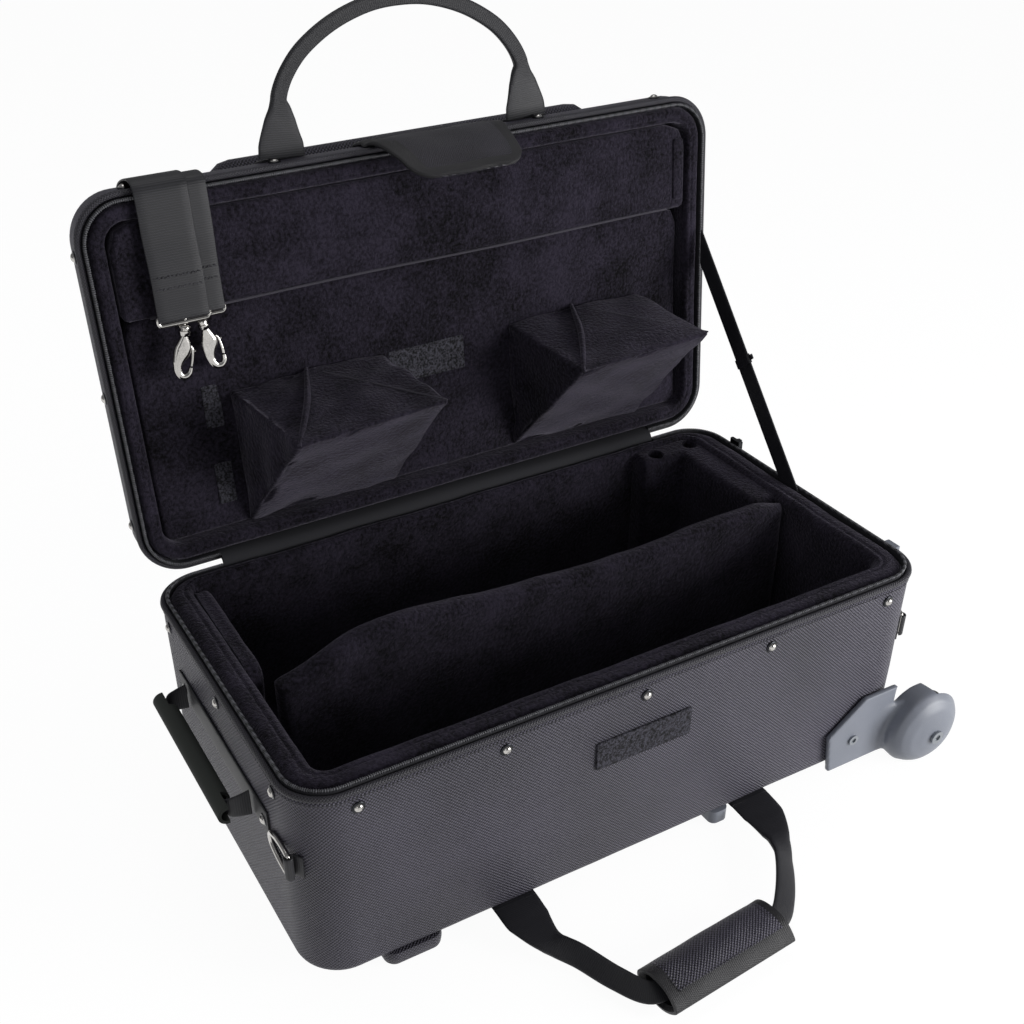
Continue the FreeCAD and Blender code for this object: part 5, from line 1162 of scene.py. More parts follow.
    def mouthpiece_block(self) -> None:
        """L-shaped foam block with two round holes, cut by booleans, edges rolled."""
        outline = [(284.0, 6.3), (284.0, 150.5), (194.4, 150.5), (194.4, 117.8), (238.0, 117.8), (238.0, 6.3)]
        levels = (self.floor + self.seat, self.block_top)
        corners = np.array([(x, y, z) for z in levels for x, y in outline])
        sides = [(i, (i + 1) % 6, (i + 1) % 6 + 6, i + 6) for i in range(6)]
        faces = sides + [tuple(range(5, -1, -1)), tuple(range(6, 12))]
        piece = faceted("mouthpiece_padding", corners, faces, self.case.base)
        modify(piece, "BEVEL", width=6 * METRES, segments=4)
        drills = []
        for x in (254.7, 213.7):
            ring = oval(2 * self.hole_radius, 2 * self.hole_radius, 28) + (x, 129)
            ends = np.stack([np.c_[ring, np.full(28, z)] for z in (self.hole_floor, 210.0)])
            drills.append(grid_piece("drill", ends, self.case.base))
            modify(piece, "BOOLEAN", object=drills[-1], solver="EXACT")
        applied(piece, drills)
        smoothed(piece.data, 35)
        dress(piece, Finishes.PLUSH, "base", ["mouthpiece_block"])

    def build(self) -> None:
        """Make the base's inside."""
        self.lining()
        self.divider()
        self.bell_pad()
        self.mouthpiece_block()


@dataclass
class LidInside(Assembly):
    """Plush padding of the lid: rim, two panels, two wedge pads and loop strips."""

    lip_low: float = 205.0
    lip_height: float = 7.0
    inner_inset: float = 21.3
    roof: float = 249.7
    main_face: float = 218.0
    pocket_face: float = 206.0
    fold_y: float = -60.0
    pad_front: float = 15.0
    pad_back: float = 135.0
    pad_depth: float = 95.0
    pad_length: float = 142.0
    pad_roll: float = 3.0
    cord_radius: float = 2.9
    seam_radius: float = 0.8
    hem_reach: float = 246.0
    hem_radius: float = 1.0

    def lining(self) -> None:
        """Padded rim: side, rolled lip with a channel, inner wall and roof."""
        across, dome, channel = lip_shape(15, 3, (0.66, 0.06, 0.9))
        lip, edge = self.lip_low + self.lip_height, self.inner_inset
        back = LID_ROUND - LINING_INSET
        turn = np.linspace(QUARTER, 0, 7)
        inset, z = profile(
            ((140, 60), LID_TOP - LINING_INSET),
            (LID_ROUND - back * np.cos(turn), LID_TOP - LID_ROUND + back * np.sin(turn)),
            (LINING_INSET, [lip]),
            (LINING_INSET + across * (edge - LINING_INSET), lip - self.lip_height * dome + channel),
            (edge, np.linspace(lip + 2, self.roof, 6)),
            (np.linspace(edge + 6, 145, 5), self.roof),
        )
        points = Plan(HALF_LENGTH, HALF_WIDTH, CORNER).rings(inset, z)
        soft = (inset > 7) & (inset < 22) & (z < 240)
        points[..., 2] += ripple(points, 60, 0.5, 31) * soft[:, None]
        self.add(
            "lid_padding", points, Finishes.PLUSH, "lid", "plush", ["lid_lining"], fill=0.6, sharp_deg=80
        )

    def panel(self, name: str, span: Spot, face: float, corner: float, node: str, seed: int) -> None:
        """One padded panel, whose face looks down out of the closed lid.

        Args:
            name: the piece's name.
            span: its front and back ends in y.
            face: height of its face.
            corner: radius of its front corners.
            node: the solid it stands for.
            seed: number that picks its unevenness.
        """
        half, middle = (span[1] - span[0]) / 2, (span[1] + span[0]) / 2
        half_x = HALF_LENGTH - self.inner_inset - 2.2
        plan = Plan(half_x, half, corner, centre_y=middle, arc=2, back_radius=5.0)
        root = self.roof - 0.3
        inset, rise = cushion_rings(root - face, 4.0, 1.2, half - 1, 0.5)
        points = plan.rings(inset, root - rise)
        fade = np.clip((half - inset) / 14, 0, 1) * (rise > root - face - 4)
        points[..., 2] += ripple(points, 70, 0.8, seed) * fade[:, None]
        self.add(name, points, Finishes.PLUSH, "lid", "plush", [node], fill=0.5)

    def hem(self) -> None:
        """Rolled free edge of the upper panel, and the folded strip at its right end."""
        x = np.linspace(-self.hem_reach, self.hem_reach, 60)
        waved = self.fold_y - 0.8 + 0.5 * np.sin(x / 45)
        edge = np.stack([x, waved, np.full(60, self.pocket_face + 0.6)], -1)
        # The rolled edge takes the pale velour: a painted highlight along it
        self.tube("lid_upper_hem", edge, self.hem_radius, Finishes.PAINTED_EDGE_HIGHLIGHT, "lid", "plush", sides=10)
        plan = Plan(5.5, 27.0, 3.0, 257.5, -95.5, arc=3, side_x=6, side_y=20)
        inset, rise = cushion_rings(3.0, 1.4, 0.3, 5.0, 0.0)
        points = plan.rings(inset, self.pocket_face + 0.8 - rise)
        self.add("lid_upper_gusset", points, Finishes.PLUSH, "lid", "plush")

    def wedge(self, name: str, start: float, shift: float, node: str, seed: int) -> None:
        """Wedge pad: two end flaps, a folded top and a long slope, sewn at its edges.

        Args:
            name: the piece's name.
            start: x of its left end.
            shift: how far its tip reaches further right.
            node: the solid it stands for.
            seed: number that picks its unevenness.
        """
        face, ridge = self.main_face - 0.4, self.main_face - self.pad_depth
        front, back, end = self.pad_front, self.pad_back, start + self.pad_length
        fold = (start + 70, front - 3, face)
        near = (start + 21, front + 24, ridge)
        tip = (start + 150 + shift, front + 18, ridge)
        foot = [(start, front, face), fold, (end, front, face), (end, back, face), (start, back, face)]
        faces = [(0, 1, 2, 3, 4), (0, 5, 1), (1, 5, 6), (1, 6, 2), (0, 4, 5), (4, 3, 6, 5), (2, 6, 3)]
        piece = faceted(name, np.array([*foot, near, tip], float), faces, self.case.lid)
        modify(piece, "BEVEL", width=self.pad_roll * METRES, segments=5)
        modify(piece, "SUBSURF", subdivision_type="SIMPLE", levels=4, render_levels=4)
        vertices = applied(piece).data.vertices
        places, ways = (np.empty(len(vertices) * 3, np.float32) for _ in range(2))
        vertices.foreach_get("co", places)
        vertices.foreach_get("normal", ways)
        places, ways = places.reshape(-1, 3), ways.reshape(-1, 3)
        swell = ripple(places / METRES, 38, 1.5, seed) * METRES
        vertices.foreach_set("co", (places + ways * swell[:, None]).astype(np.float32).ravel())
        smoothed(piece.data)
        dress(piece, Finishes.PLUSH, "lid", [node])
        middle = (np.array(fold) + np.array(near)) / 2 + np.array([4.0, -2.5, 0.0])
        thick = self.cord_radius * np.sin(np.linspace(0.6, 2.54, 20))
        seam = curve_through([fold, middle, near], 20)
        self.tube(name + "_cord", seam, thick, Finishes.PLUSH, "lid", "plush", sides=10)
        # Thin tube along the sewn edge from the fold to the tip, in the pale velour: a painted highlight on
        # the seam
        share = np.linspace(0.12, 0.985, 30)[:, None]
        edge = np.array(fold) * (1 - share) + np.array(tip) * share
        self.tube(name + "_edge", edge, self.seam_radius, Finishes.PAINTED_EDGE_HIGHLIGHT, "lid", "plush", sides=8)

    def strips(self) -> None:
        """Three loop strips on the main panel."""
        made = []
        for x, y, half_x, half_y in ((-206, 25.1, 7.5, 18.5), (-206, 94.2, 7.5, 18.5), (-6, 30, 37, 15)):
            plan = Plan(half_x, half_y, 1.5, x, y, arc=3, side_x=6, side_y=8)
            inset, rise = cushion_rings(2.0, 0.5, 0.2, 6.0, 0.0)
            made.append(grid_piece("strip", plan.rings(inset, self.main_face + 0.5 - rise), self.case.lid))
        dress(joined("lid_loops", made), Finishes.LOOPS, "lid", ["lid_loop_strips"])

    def build(self) -> None:
        """Make the lid's inside."""
        self.lining()
        inner = HALF_WIDTH - self.inner_inset - 0.4
        main = (self.fold_y + 0.4, inner)
        self.panel("lid_main_padding", main, self.main_face, 16.0, "lid_main_panel", 41)
        upper = (-inner, self.fold_y)
        self.panel("lid_upper_padding", upper, self.pocket_face, 20.0, "lid_pocket_panel", 43)
        self.hem()
        self.wedge("left_wedge", -190.0, 6.0, "wedge_pad_left", 51)
        self.wedge("right_wedge", 77.0, 8.0, "wedge_pad_right", 52)
        self.strips()


@dataclass
class Flap(Assembly):
    """Closure flap with a bound edge, bowed over the rim."""

    centre_x: float = 14.0
    half_width: float = 60.0
    tip_half: float = 50.0
    corner: float = 20.0
    binding: float = 11.0
    groove: float = 0.7
    edge_roll: float = 0.9
    bow: float = 2.2
    pivot_y: float = -159.8
    pivot_z: float = 225.0
    swing_deg: float = 15.0

    def line(self) -> Array:
        """The flap's middle line from its sewn root to its tip, in closed-lid (y, z)."""
        turn = math.radians(self.swing_deg)
        hang = np.array([(-0.6, -6.0), (-7.0, -18.0), (-10.0, -34.0), (-8.6, -56.0), (-3.0, -84.0)])
        y = self.pivot_y + hang[:, 0] * math.cos(turn) - hang[:, 1] * math.sin(turn)
        z = self.pivot_z + hang[:, 0] * math.sin(turn) + hang[:, 1] * math.cos(turn)
        level = self.pivot_z + np.array([28.0, 20.0, 12.0, 5.0])
        root = np.stack([lid_inset(level) - HALF_WIDTH - 1.8, level], -1)
        return curve_through([*root, (self.pivot_y, self.pivot_z), *zip(y, z)], 60)

    def build(self) -> None:
        """Flap as a grid: along the line and across it, thicker in its binding.

        With u the distance from the tip and r the corner's radius, the half width draws
        in by r - sqrt(r^2 - (r - u)^2); the cloth's middle bows out by 1 - t^2 across.
        """
        line = self.line()
        along = distances(line)
        left = along[-1] - along
        narrowing = blend_values(self.tip_half, self.half_width, left / 80)
        cut = np.clip(self.corner - left, 0, None)
        half = narrowing - (self.corner - np.sqrt(np.clip(self.corner**2 - cut**2, 0, None)))
        t = np.sin(np.linspace(-QUARTER, QUARTER, 41))
        from_edge = np.minimum((1 - np.abs(t))[None] * half[:, None], left[:, None])
        groove = self.groove * np.exp(-(((from_edge - self.binding) / 0.9) ** 2))
        thick = np.where(from_edge < self.binding, 1.75, 1.35) - groove
        thick = thick * np.clip(from_edge / self.edge_roll, 0.15, 1) ** 0.5
        normal = unit(np.stack([np.gradient(line[:, 1]), -np.gradient(line[:, 0])], -1))[:, None]
        free = np.clip(left / 30, 0, 1)[:, None] * np.clip(along / 30, 0, 1)[:, None]
        bow = self.bow * (1 - t**2)[None] * free
        x = self.centre_x + t * half[:, None]
        layers = []
        for side in (1, -1):
            yz = line[:, None] + normal * (bow + side * thick)[..., None]
            layers.append(np.concatenate([x[..., None], yz], -1)[:, ::side])
        points = np.concatenate(layers, 1)
        loose = np.clip(along / 40, 0, 1)[:, None, None]
        points[..., 1:] += normal * ripple(points, 38, 0.8, 61)[..., None] * loose
        piece = grid_piece("closure_flap_cloth", points, self.case.lid)
        ends = [(self.centre_x, self.pivot_y, self.pivot_z + up) for up in (4, -6)]
        self.bend(piece, Finishes.FLAP, ("lid", "flap"), ends, "flap_fabric", ["closure_flap", "flap_root"])
        banded(piece, Finishes.BINDING, np.hstack([from_edge, from_edge[:, ::-1]])[:-1] < self.binding)


@dataclass
class Handles(Assembly):
    """Webbing handles of the lid, the base and the left end."""

    foot: Spot = (39.0, 1.8)
    lid_depth: float = 228.5
    lid_half: float = 113.0
    crease: float = 1.0
    strap_level: float = 14.9
    wrap_low: Spot = (-74.0, -285.0, 15.2)
    wrap_high: Spot = (55.0, -274.5, 15.2)
    wrap_outer: Spot = (23.0, 13.6)
    wrap_inner: Spot = (17.5, 9.4)
    wrap_thin: float = 0.38
    wrap_binding: float = 0.1
    wrap_seam: float = -13.6
    grip_x: float = -313.0
    grip_z: float = 136.0

    def lid_handle(self) -> None:
        """Arch of folded webbing that widens to flat feet."""
        outs = [
            (113, 0), (112, 16), (110, 34), (109, 46), (100, 62), (84, 78), (58, 93), (28, 102.5), (0, 105),
        ]
        right = [(x, -HALF_WIDTH - 1.6 - out, self.lid_depth) for x, out in outs]
        left = [(-x, y, z) for x, y, z in right[:-1]]
        path = curve_through(left + right[::-1], 150)
        climb = -HALF_WIDTH - path[:, 1]
        known = [0, 12, 30, 44, 60, 110]
        width = np.interp(climb, known, [40, 38, 26, 13, 12.5, 12])
        section = changing(width, np.interp(climb, known, [1.8, 2.2, 4.6, 7.5, 6.2, 5.8]))
        points = swept(path, section, np.cross(unit(np.gradient(path, axis=0)), UP))
        creased = (np.abs(section[..., 0]) < width[:, None] * 0.12) & (climb[:, None] > 30)
        points[..., 2] -= np.where(creased, self.crease * np.sign(points[..., 2] - self.lid_depth), 0)
        body, finish = "lid_handle", Finishes.WEBBING
        self.add("lid_handle_webbing", points, finish, body, "webbing", ["lid_handle"], sharp_deg=65)
        level = self.lid_depth + np.linspace(0.0, 16.0, 10)
        for side, word in ((-1, "left"), (1, "right")):
            wall = lid_inset(level) - HALF_WIDTH - 1.1
            path = np.stack([np.full(10, side * self.lid_half), wall, level], -1)
            self.band("lid_handle_foot_" + word, path, self.foot, ALONG, "lid", ["lid_handle_anchors"])

    def base_handle(self) -> None:
        """Two straps that lie on the floor and fold narrow before the wrap."""
        left = [
            (-116, -157, 14.9), (-116, -160, 14.8), (-116, -180, 14), (-112, -203, 13), (-100, -226, 13),
            (-88, -258, 14), (-74, -282, 15.2), (-50, -284, 15.2),
        ]
        right = [
            (122, -157, 14.9), (122, -160, 14.8), (120, -182, 14.4), (112, -208, 14), (98, -232, 14),
            (76, -258, 14.4), (56, -274, 15.2), (32, -276.5, 15.2),
        ]
        for word, knots, side in (("left", left, 1), ("right", right, -1)):
            path = curve_through(knots, 70)
            climb = distances(path)
            known = [0, 20, 52, 75, 200]
            width = np.interp(climb, known, [39, 38, 20, 19, 17])
            section = changing(width, np.interp(climb, known, [1.8, 2.0, 6.0, 3.8, 3.6]))
            lean = np.interp(climb, [0, 45, 70, 110, 200], [0.0, 0.0, 0.75, 0.55, 0.3])[:, None] * side
            points = swept(path, section, unit(np.cross(UP, unit(np.gradient(path, axis=0))) + lean * UP))
            points[..., 2] += np.clip(1.0 - points[..., 2].min(), 0, None)
            strap = grid_piece("base_handle_strap_" + word, points, self.case.base, sharp_deg=65)
            ends = [(knots[0][0], -HALF_WIDTH - out, 14.8) for out in (2, 20)]
            bodies, node = ("base", "base_handle"), "base_handle_straps"
            self.bend(strap, Finishes.WEBBING, bodies, ends, "webbing", [node])
        for knots, word in ((left, "left"), (right, "right")):
            path = np.array([(knots[0][0], y, self.strap_level) for y in np.linspace(-HALF_WIDTH, -60, 14)])
            self.band("base_handle_foot_" + word, path, self.foot, ALONG, "base", ["handle_anchors"])

    def wrap_frame(self) -> tuple[Array, Array, Array]:
        """The wrap's low end, its run to the high end, and the level way across it."""
        low = np.array(self.wrap_low)
        run = np.array(self.wrap_high) - low
        along = unit(run)
        return low, run, np.array([-along[1], along[0], 0])

    def wrap(self) -> None:
        """Padded wrap: a hollow teardrop section along the handle, with a bound edge.

        The section's outer line is an ellipse (a cos t, b sin t) thinned towards its
        front lip by 1 - 0.38 |cos t|^3; the inner line is the same, drawn in by the wall.
        """
        low, run, cross = self.wrap_frame()
        angle = circle(48)
        back = np.cos(angle)
        lip = np.clip(-back, 0, 1) ** 3
        outer, inner = (
            np.stack([reach * back, rise * np.sin(angle) * (1 - thin * lip)], -1)
            for (reach, rise), thin in ((self.wrap_outer, self.wrap_thin), (self.wrap_inner, 0.5))
        )
        full = slice(2, 42)
        s = np.concatenate([[0.06, 0.03], np.linspace(0.035, 0.965, 40), [0.97, 0.94]])
        share = np.concatenate([[0.0, 0.45], np.ones(40), [0.45, 0.0]])[:, None, None]
        ends = np.minimum(s, 1 - s)
        pinch = 1 - 0.06 * np.exp(-(((ends - self.wrap_binding) / 0.012) ** 2))
        section = inner * (1 - share) + outer * share
        section[..., 1] *= pinch[:, None]
        # Two last rings line the hollow, and the surface then closes on its first
        section = np.concatenate([section, np.stack([inner * 0.98] * 2)])
        middle = low + run * np.append(s, [s[-1], s[0]])[:, None]
        points = middle[:, None] + cross * section[..., :1] + UP * section[..., 1:]
        points[full, :, 2] += ripple(points[full], 30, 0.5, 71) * (points[full, :, 2] > 15)
        points[..., 2] = np.maximum(points[..., 2], 0.5)
        piece = self.add(
            "base_handle_padding", points, Finishes.NYLON, "base_handle", "wrap_fabric", ["base_handle_wrap"],
            looped=True, capped=False,
        )
        rim = np.ones(points.shape[:2], bool)
        rim[full] = (ends[full] < self.wrap_binding)[:, None] | (back < -0.59)[None]
        banded(piece, Finishes.BINDING, rim)

    def wrap_height(self, side: Array) -> Array:
        """Height of the wrap's outer line at a distance across it: its ellipse, thinned in front."""
        reach, rise = self.wrap_outer
        share = side / reach
        return rise * np.sqrt(1 - share**2) * (1 - self.wrap_thin * np.clip(-share, 0, 1) ** 3)

    def wrap_stitches(self) -> None:
        """Stitch rows along the wrap's front binding and across its two ends."""
        low, run, cross = self.wrap_frame()
        first, last = self.wrap_binding, 1 - self.wrap_binding
        front = np.full(60, self.wrap_seam)
        over = np.linspace(self.wrap_seam, 12.0, 24)
        lift = self.wrap_height(over) * 0.94
        rows = [(np.linspace(first, last, 60), front, self.wrap_height(front))]
        rows += [(np.full(24, share), over, lift) for share in (first, last)]
        made = []
        for share, side, rise in (np.array(row)[..., None] for row in rows):
            path = low + run * share + cross * side + UP * rise
            made.append(stitch_row("row", path, UP, self.case.base, 3.2))
        dress(joined("base_handle_stitches", made), Finishes.THREAD, "base_handle")

    def end_grip(self) -> None:
        """Webbing legs from the grip tube to the wall, and the strip on the wall."""
        made = []
        for y, out in ((-66.0, -1), (76.0, 1)):
            knots = ((self.grip_x, -22), (self.grip_x, -8), (-310, -1.5), (-303, 0.5), (-293.6, 1.0))
            path = curve_through([(x, y + out * aside, self.grip_z) for x, aside in knots], 30)
            height = np.interp(np.linspace(0, 1, 30), [0, 0.4, 0.6, 1], [8.0, 12.0, 19.0, 25.0])
            made.append(grid_piece("leg", swept(path, changing(height, 2.4, 16), UP), self.case.base))
        core = np.array([(self.grip_x, y, self.grip_z) for y in np.linspace(-60, 70, 12)])
        made.append(grid_piece("leg", swept(core, webbing_section(8, 3.0), UP), self.case.base))
        legs = joined("end_grip_webbing", made)
        ends = [(x, 5.0, self.grip_z) for x in (-294.5, -305.0)]
        self.bend(legs, Finishes.WEBBING, ("base", "end_grip"), ends, "webbing", ["grip_webbing"])
        path = np.array([(-HALF_LENGTH - 0.9, y, self.grip_z) for y in np.linspace(-97, 98, 30)])
        self.band("end_strip_webbing", path, (25, 1.6), UP, "base", ["end_strip"])

    def build(self) -> None:
        """Make the three handles."""
        self.lid_handle()
        self.base_handle()
        self.wrap()
        self.wrap_stitches()
        self.end_grip()


@dataclass(frozen=True)
class Fall:
    """One end of the sling: where it hangs, how deep it tucks in, and the way its hook leans."""

    word: str
    x: float
    z: float
    tuck: float
    lean: int


FALLS = (Fall("front", -222.0, RIM - 4.4, 0.0, 1), Fall("rear", -207.0, RIM + 2.0, 1.9, -1))


@dataclass
class Straps(Assembly):
    """Stowed shoulder sling, stay strap and the tabs of the D-rings."""

    sling_width: float = 42.0
    thickness: float = 1.7
    stay_x: float = 282.2
    stay_width: float = 19.5
    keeper_share: float = 0.5
    tab_centre: Spot = (-252.0, -119.0)
    tab_reach: float = 39.2
    ring_reach: float = 43.8
    loop_radius: float = 3.1

    def sling_path(self, fall: Fall) -> Array:
        """Middle line of one fall: round its ring, over the rim and down behind the lid."""
        x, near, tuck = fall.x, fall.z, fall.tuck
        rim = RIM - 3.0 + tuck
        over = -163.2 + tuck
        behind = RIM + 86.0 - tuck
        ring = [
            (-58.9, near + 2.6), (-57.6, near), (-58.9, near - 2.4), (-64.0, near - 1.6),
            (-92.0, near - 2.2 + tuck * 0.4),
        ]
        edge = [(-122, rim), (-148, rim), (-158.5, rim + 1.8), (over, rim + 9), (over + 0.3, LID_LOW + 10)]
        out = LID_ROUND + 3.6 - tuck
        turns = np.radians((22.0, 44.0, 60.0))
        wall = [
            (LID_ROUND - HALF_WIDTH - out * math.cos(turn), LID_TOP - LID_ROUND + out * math.sin(turn))
            for turn in turns
        ]
        hang = [
            (over + 24, behind - 14), (over + 33, behind - 3), (over + 48, behind), (over + 110, behind),
            (over + 263, behind - 1),
        ]
        return curve_through([(x, y, z) for y, z in ring + edge + wall + hang], 220)

    def sling(self) -> None:
        """Two layers of webbing thrown over the open lid's top edge, looped on rings."""
        made = []
        size = (self.sling_width, self.thickness)
        for fall in FALLS:
            path = self.sling_path(fall)
            self.band("sling_" + fall.word, path, size, ALONG, "lid", ["sling_strap"], "sling_webbing")
            across = np.linspace(-19, 19, 20)
            zigzag = -92.5 + 0.8 * (np.arange(20) % 2 * 2 - 1)
            hem = np.stack([fall.x + across, zigzag, np.full(20, fall.z - 3.4 + fall.tuck * 0.4)], -1)
            rows = (hem, hem + np.array([0, 9.0, 0.3]))
            made += [stitch_row("row", row, -UP, self.case.lid) for row in rows]
        dress(joined("sling_stitches", made), Finishes.THREAD, "lid")

    def stay(self) -> None:
        """Taut webbing from the base rim to the lid rim, with a sewn keeper."""
        low = np.array([self.stay_x, 12.0, 199.0])
        high = opened(np.array([self.stay_x, -21.0, 199.5]))
        run = unit(high - low)
        flat = np.cross(run, ALONG)
        base_side = np.array([0, 1.0, 0])
        lid_side = unit(opened(base_side) - opened(np.zeros(3)))
        cuts = [(side @ run) / (side @ flat) for side in (base_side, lid_side)]
        share = np.linspace(0, 1, 40)[:, None]
        section = webbing_section(self.stay_width, self.thickness)
        straight = low + (high - low) * share
        slip = np.interp(share, [0, 1], cuts) * section[None, :, 0]
        points = straight[:, None] + flat * section[:, :1] + run * slip[..., None] + ALONG * section[:, 1:]
        keeper_at = low + (high - low) * np.linspace(self.keeper_share, self.keeper_share + 0.035, 5)[:, None]
        tail_at = keeper_at[2] - flat * 9.0 - np.outer(np.linspace(0, 6, 5), flat)
        parts = (
            ("stay_webbing", points),
            ("stay_keeper", swept(keeper_at, webbing_section(21.5, 4.0), flat)),
            ("stay_tail", swept(tail_at, webbing_section(5.0, 1.4), run)),
        )
        piece = joined("stay_webbing", [grid_piece(name, part, self.case.base) for name, part in parts])
        self.bend(piece, Finishes.WEBBING, ("base", "lid"), (low, high), "webbing", ["stay_strap"])

    def tabs(self) -> None:
        """Webbing round each front corner, turned about its ring's bar."""
        centre = np.array(self.tab_centre)
        arc = centre + self.tab_reach * directions(217, 205, 10)
        bar = centre + self.ring_reach * directions(204, 204, 1)
        line = resampled(np.vstack([arc, bar + self.loop_radius * directions(24, 310, 18)]), 50)
        for side, word in ((-1, "left"), (1, "right")):
            node = "d_ring_tab_" + word
            path = np.c_[line, np.full(50, self.case.box(node)[:, 2].mean())]
            path[:, 0] *= -side
            self.band("d_ring_webbing_" + word, path, (21, 1.5), UP, "base", [node])

    def build(self) -> None:
        """Make the sling, the stay and the tabs."""
        self.sling()
        self.stay()
        self.tabs()


@dataclass
class Trim(Assembly):
    """Front patch, rivets and fabric feet."""

    washer: Spot = (5.2, 0.9)
    head: Spot = (3.7, 2.7)
    dome_foot: float = 0.4
    base_level: float = 182.0
    lid_level: float = LID_LOW + 11.0
    strip_level: float = 136.0

    def patch(self) -> None:
        """Loop patch sewn on the front wall."""
        plan = Plan(45.0, 13.5, 2.0, 0.0, 139.0, arc=3, side_x=20, side_y=6)
        flat = plan.rings(*cushion_rings(2.0, 0.8, 0.3, 12.0, 0.0))
        points = np.stack([flat[..., 0], -HALF_WIDTH + 0.1 - flat[..., 2], flat[..., 1]], -1)
        self.add("front_loops", points, Finishes.LOOPS, "base", "loop_tape", ["loop_patch"])

    def dome(self, spot: Spot, size: Spot, place: Place) -> Piece:
        """A low dome turned about its own axis: radius r cos a at height h sin a.

        Args:
            spot: its place (x, y, z) and the level way (x, y) that it faces.
            size: its radius and height in millimetres.
            place: turns places into the frame's metres.

        Returns:
            The dome.
        """
        at, out = np.array(spot[:3]), np.array([*spot[3:], 0.0])
        reach, height = size
        turn = np.linspace(0, QUARTER, 8)[:-1]
        radius = np.concatenate([[reach], reach * np.cos(turn)])
        rise = np.concatenate([[0.0], self.dome_foot + height * np.sin(turn)])
        angle = circle(18)[:, None]
        ring = unit(np.cross(out, UP)) * np.cos(angle) + UP * np.sin(angle)
        points = at + ring[None] * radius[:, None, None] + out * rise[:, None, None]
        return grid_piece("rivet", points, place, sharp_deg=70)

    def spots(self, shares: Spot, sides: Spot, z: float) -> list[Spot]:
        """Places of rivets round the walls at a height.

        Args:
            shares: places along the long walls, as shares of the half length.
            sides: which long walls have them, the front being -1.
            z: their height.

        Returns:
            Tuples (x, y, z, way x, way y), the long walls' first.
        """
        long = [(share * HALF_LENGTH, side * HALF_WIDTH, z, 0, side) for share in shares for side in sides]
        ends = [(side, share * HALF_WIDTH) for share in (-0.72, 0.0, 0.72) for side in (-1, 1)]
        return long + [(side * HALF_LENGTH, y, z, side, 0) for side, y in ends]

    def rivets(self) -> None:
        """Rivets of the base, the lid and the end strip."""
        base = self.spots((-0.84, -0.43, 0.0, 0.42, 0.85), (-1, 1), self.base_level)
        lid = self.spots((-0.84, -0.42, 0.42, 0.84), (-1,), self.lid_level)
        strip = [(-HALF_LENGTH - 1.5, y, self.strip_level, -1, 0) for y in (-89.0, 87.0)]
        sets = (
            ("base", base, "base", "base_rivets"),
            ("lid", lid, "lid", "lid_rivets"),
            ("strip", strip, "base", "end_strip_rivets"),
        )
        washers, heads = ("washers", self.washer, Finishes.RIVET), ("heads", self.head, Finishes.NICKEL)
        for name, spots, body, node in sets:
            for part, size, finish in (washers, heads):
                made = [self.dome(spot, size, self.case.place(body)) for spot in spots]
                replaces = [node] if part == "heads" else ()
                dress(joined(name + "_rivet_" + part, made), finish, body, replaces)

    def feet(self) -> None:
        """Two cloth-covered feet under the left end."""
        made = []
        for side in (-1, 1):
            plan = Plan(25.0, 19.8, 10.0, -205.0, side * 137.0, side_x=10, side_y=8)
            inset, rise = cushion_rings(15.5, 6.0, 0.0, 18.0, -0.6)
            made.append(grid_piece("foot", plan.rings(inset, 15.8 - rise), self.case.base))
        dress(joined("cloth_feet", made), Finishes.NYLON, "base", ["fabric_feet"])

    def build(self) -> None:
        """Make the patch, rivets and feet."""
        self.patch()
        self.rivets()
        self.feet()


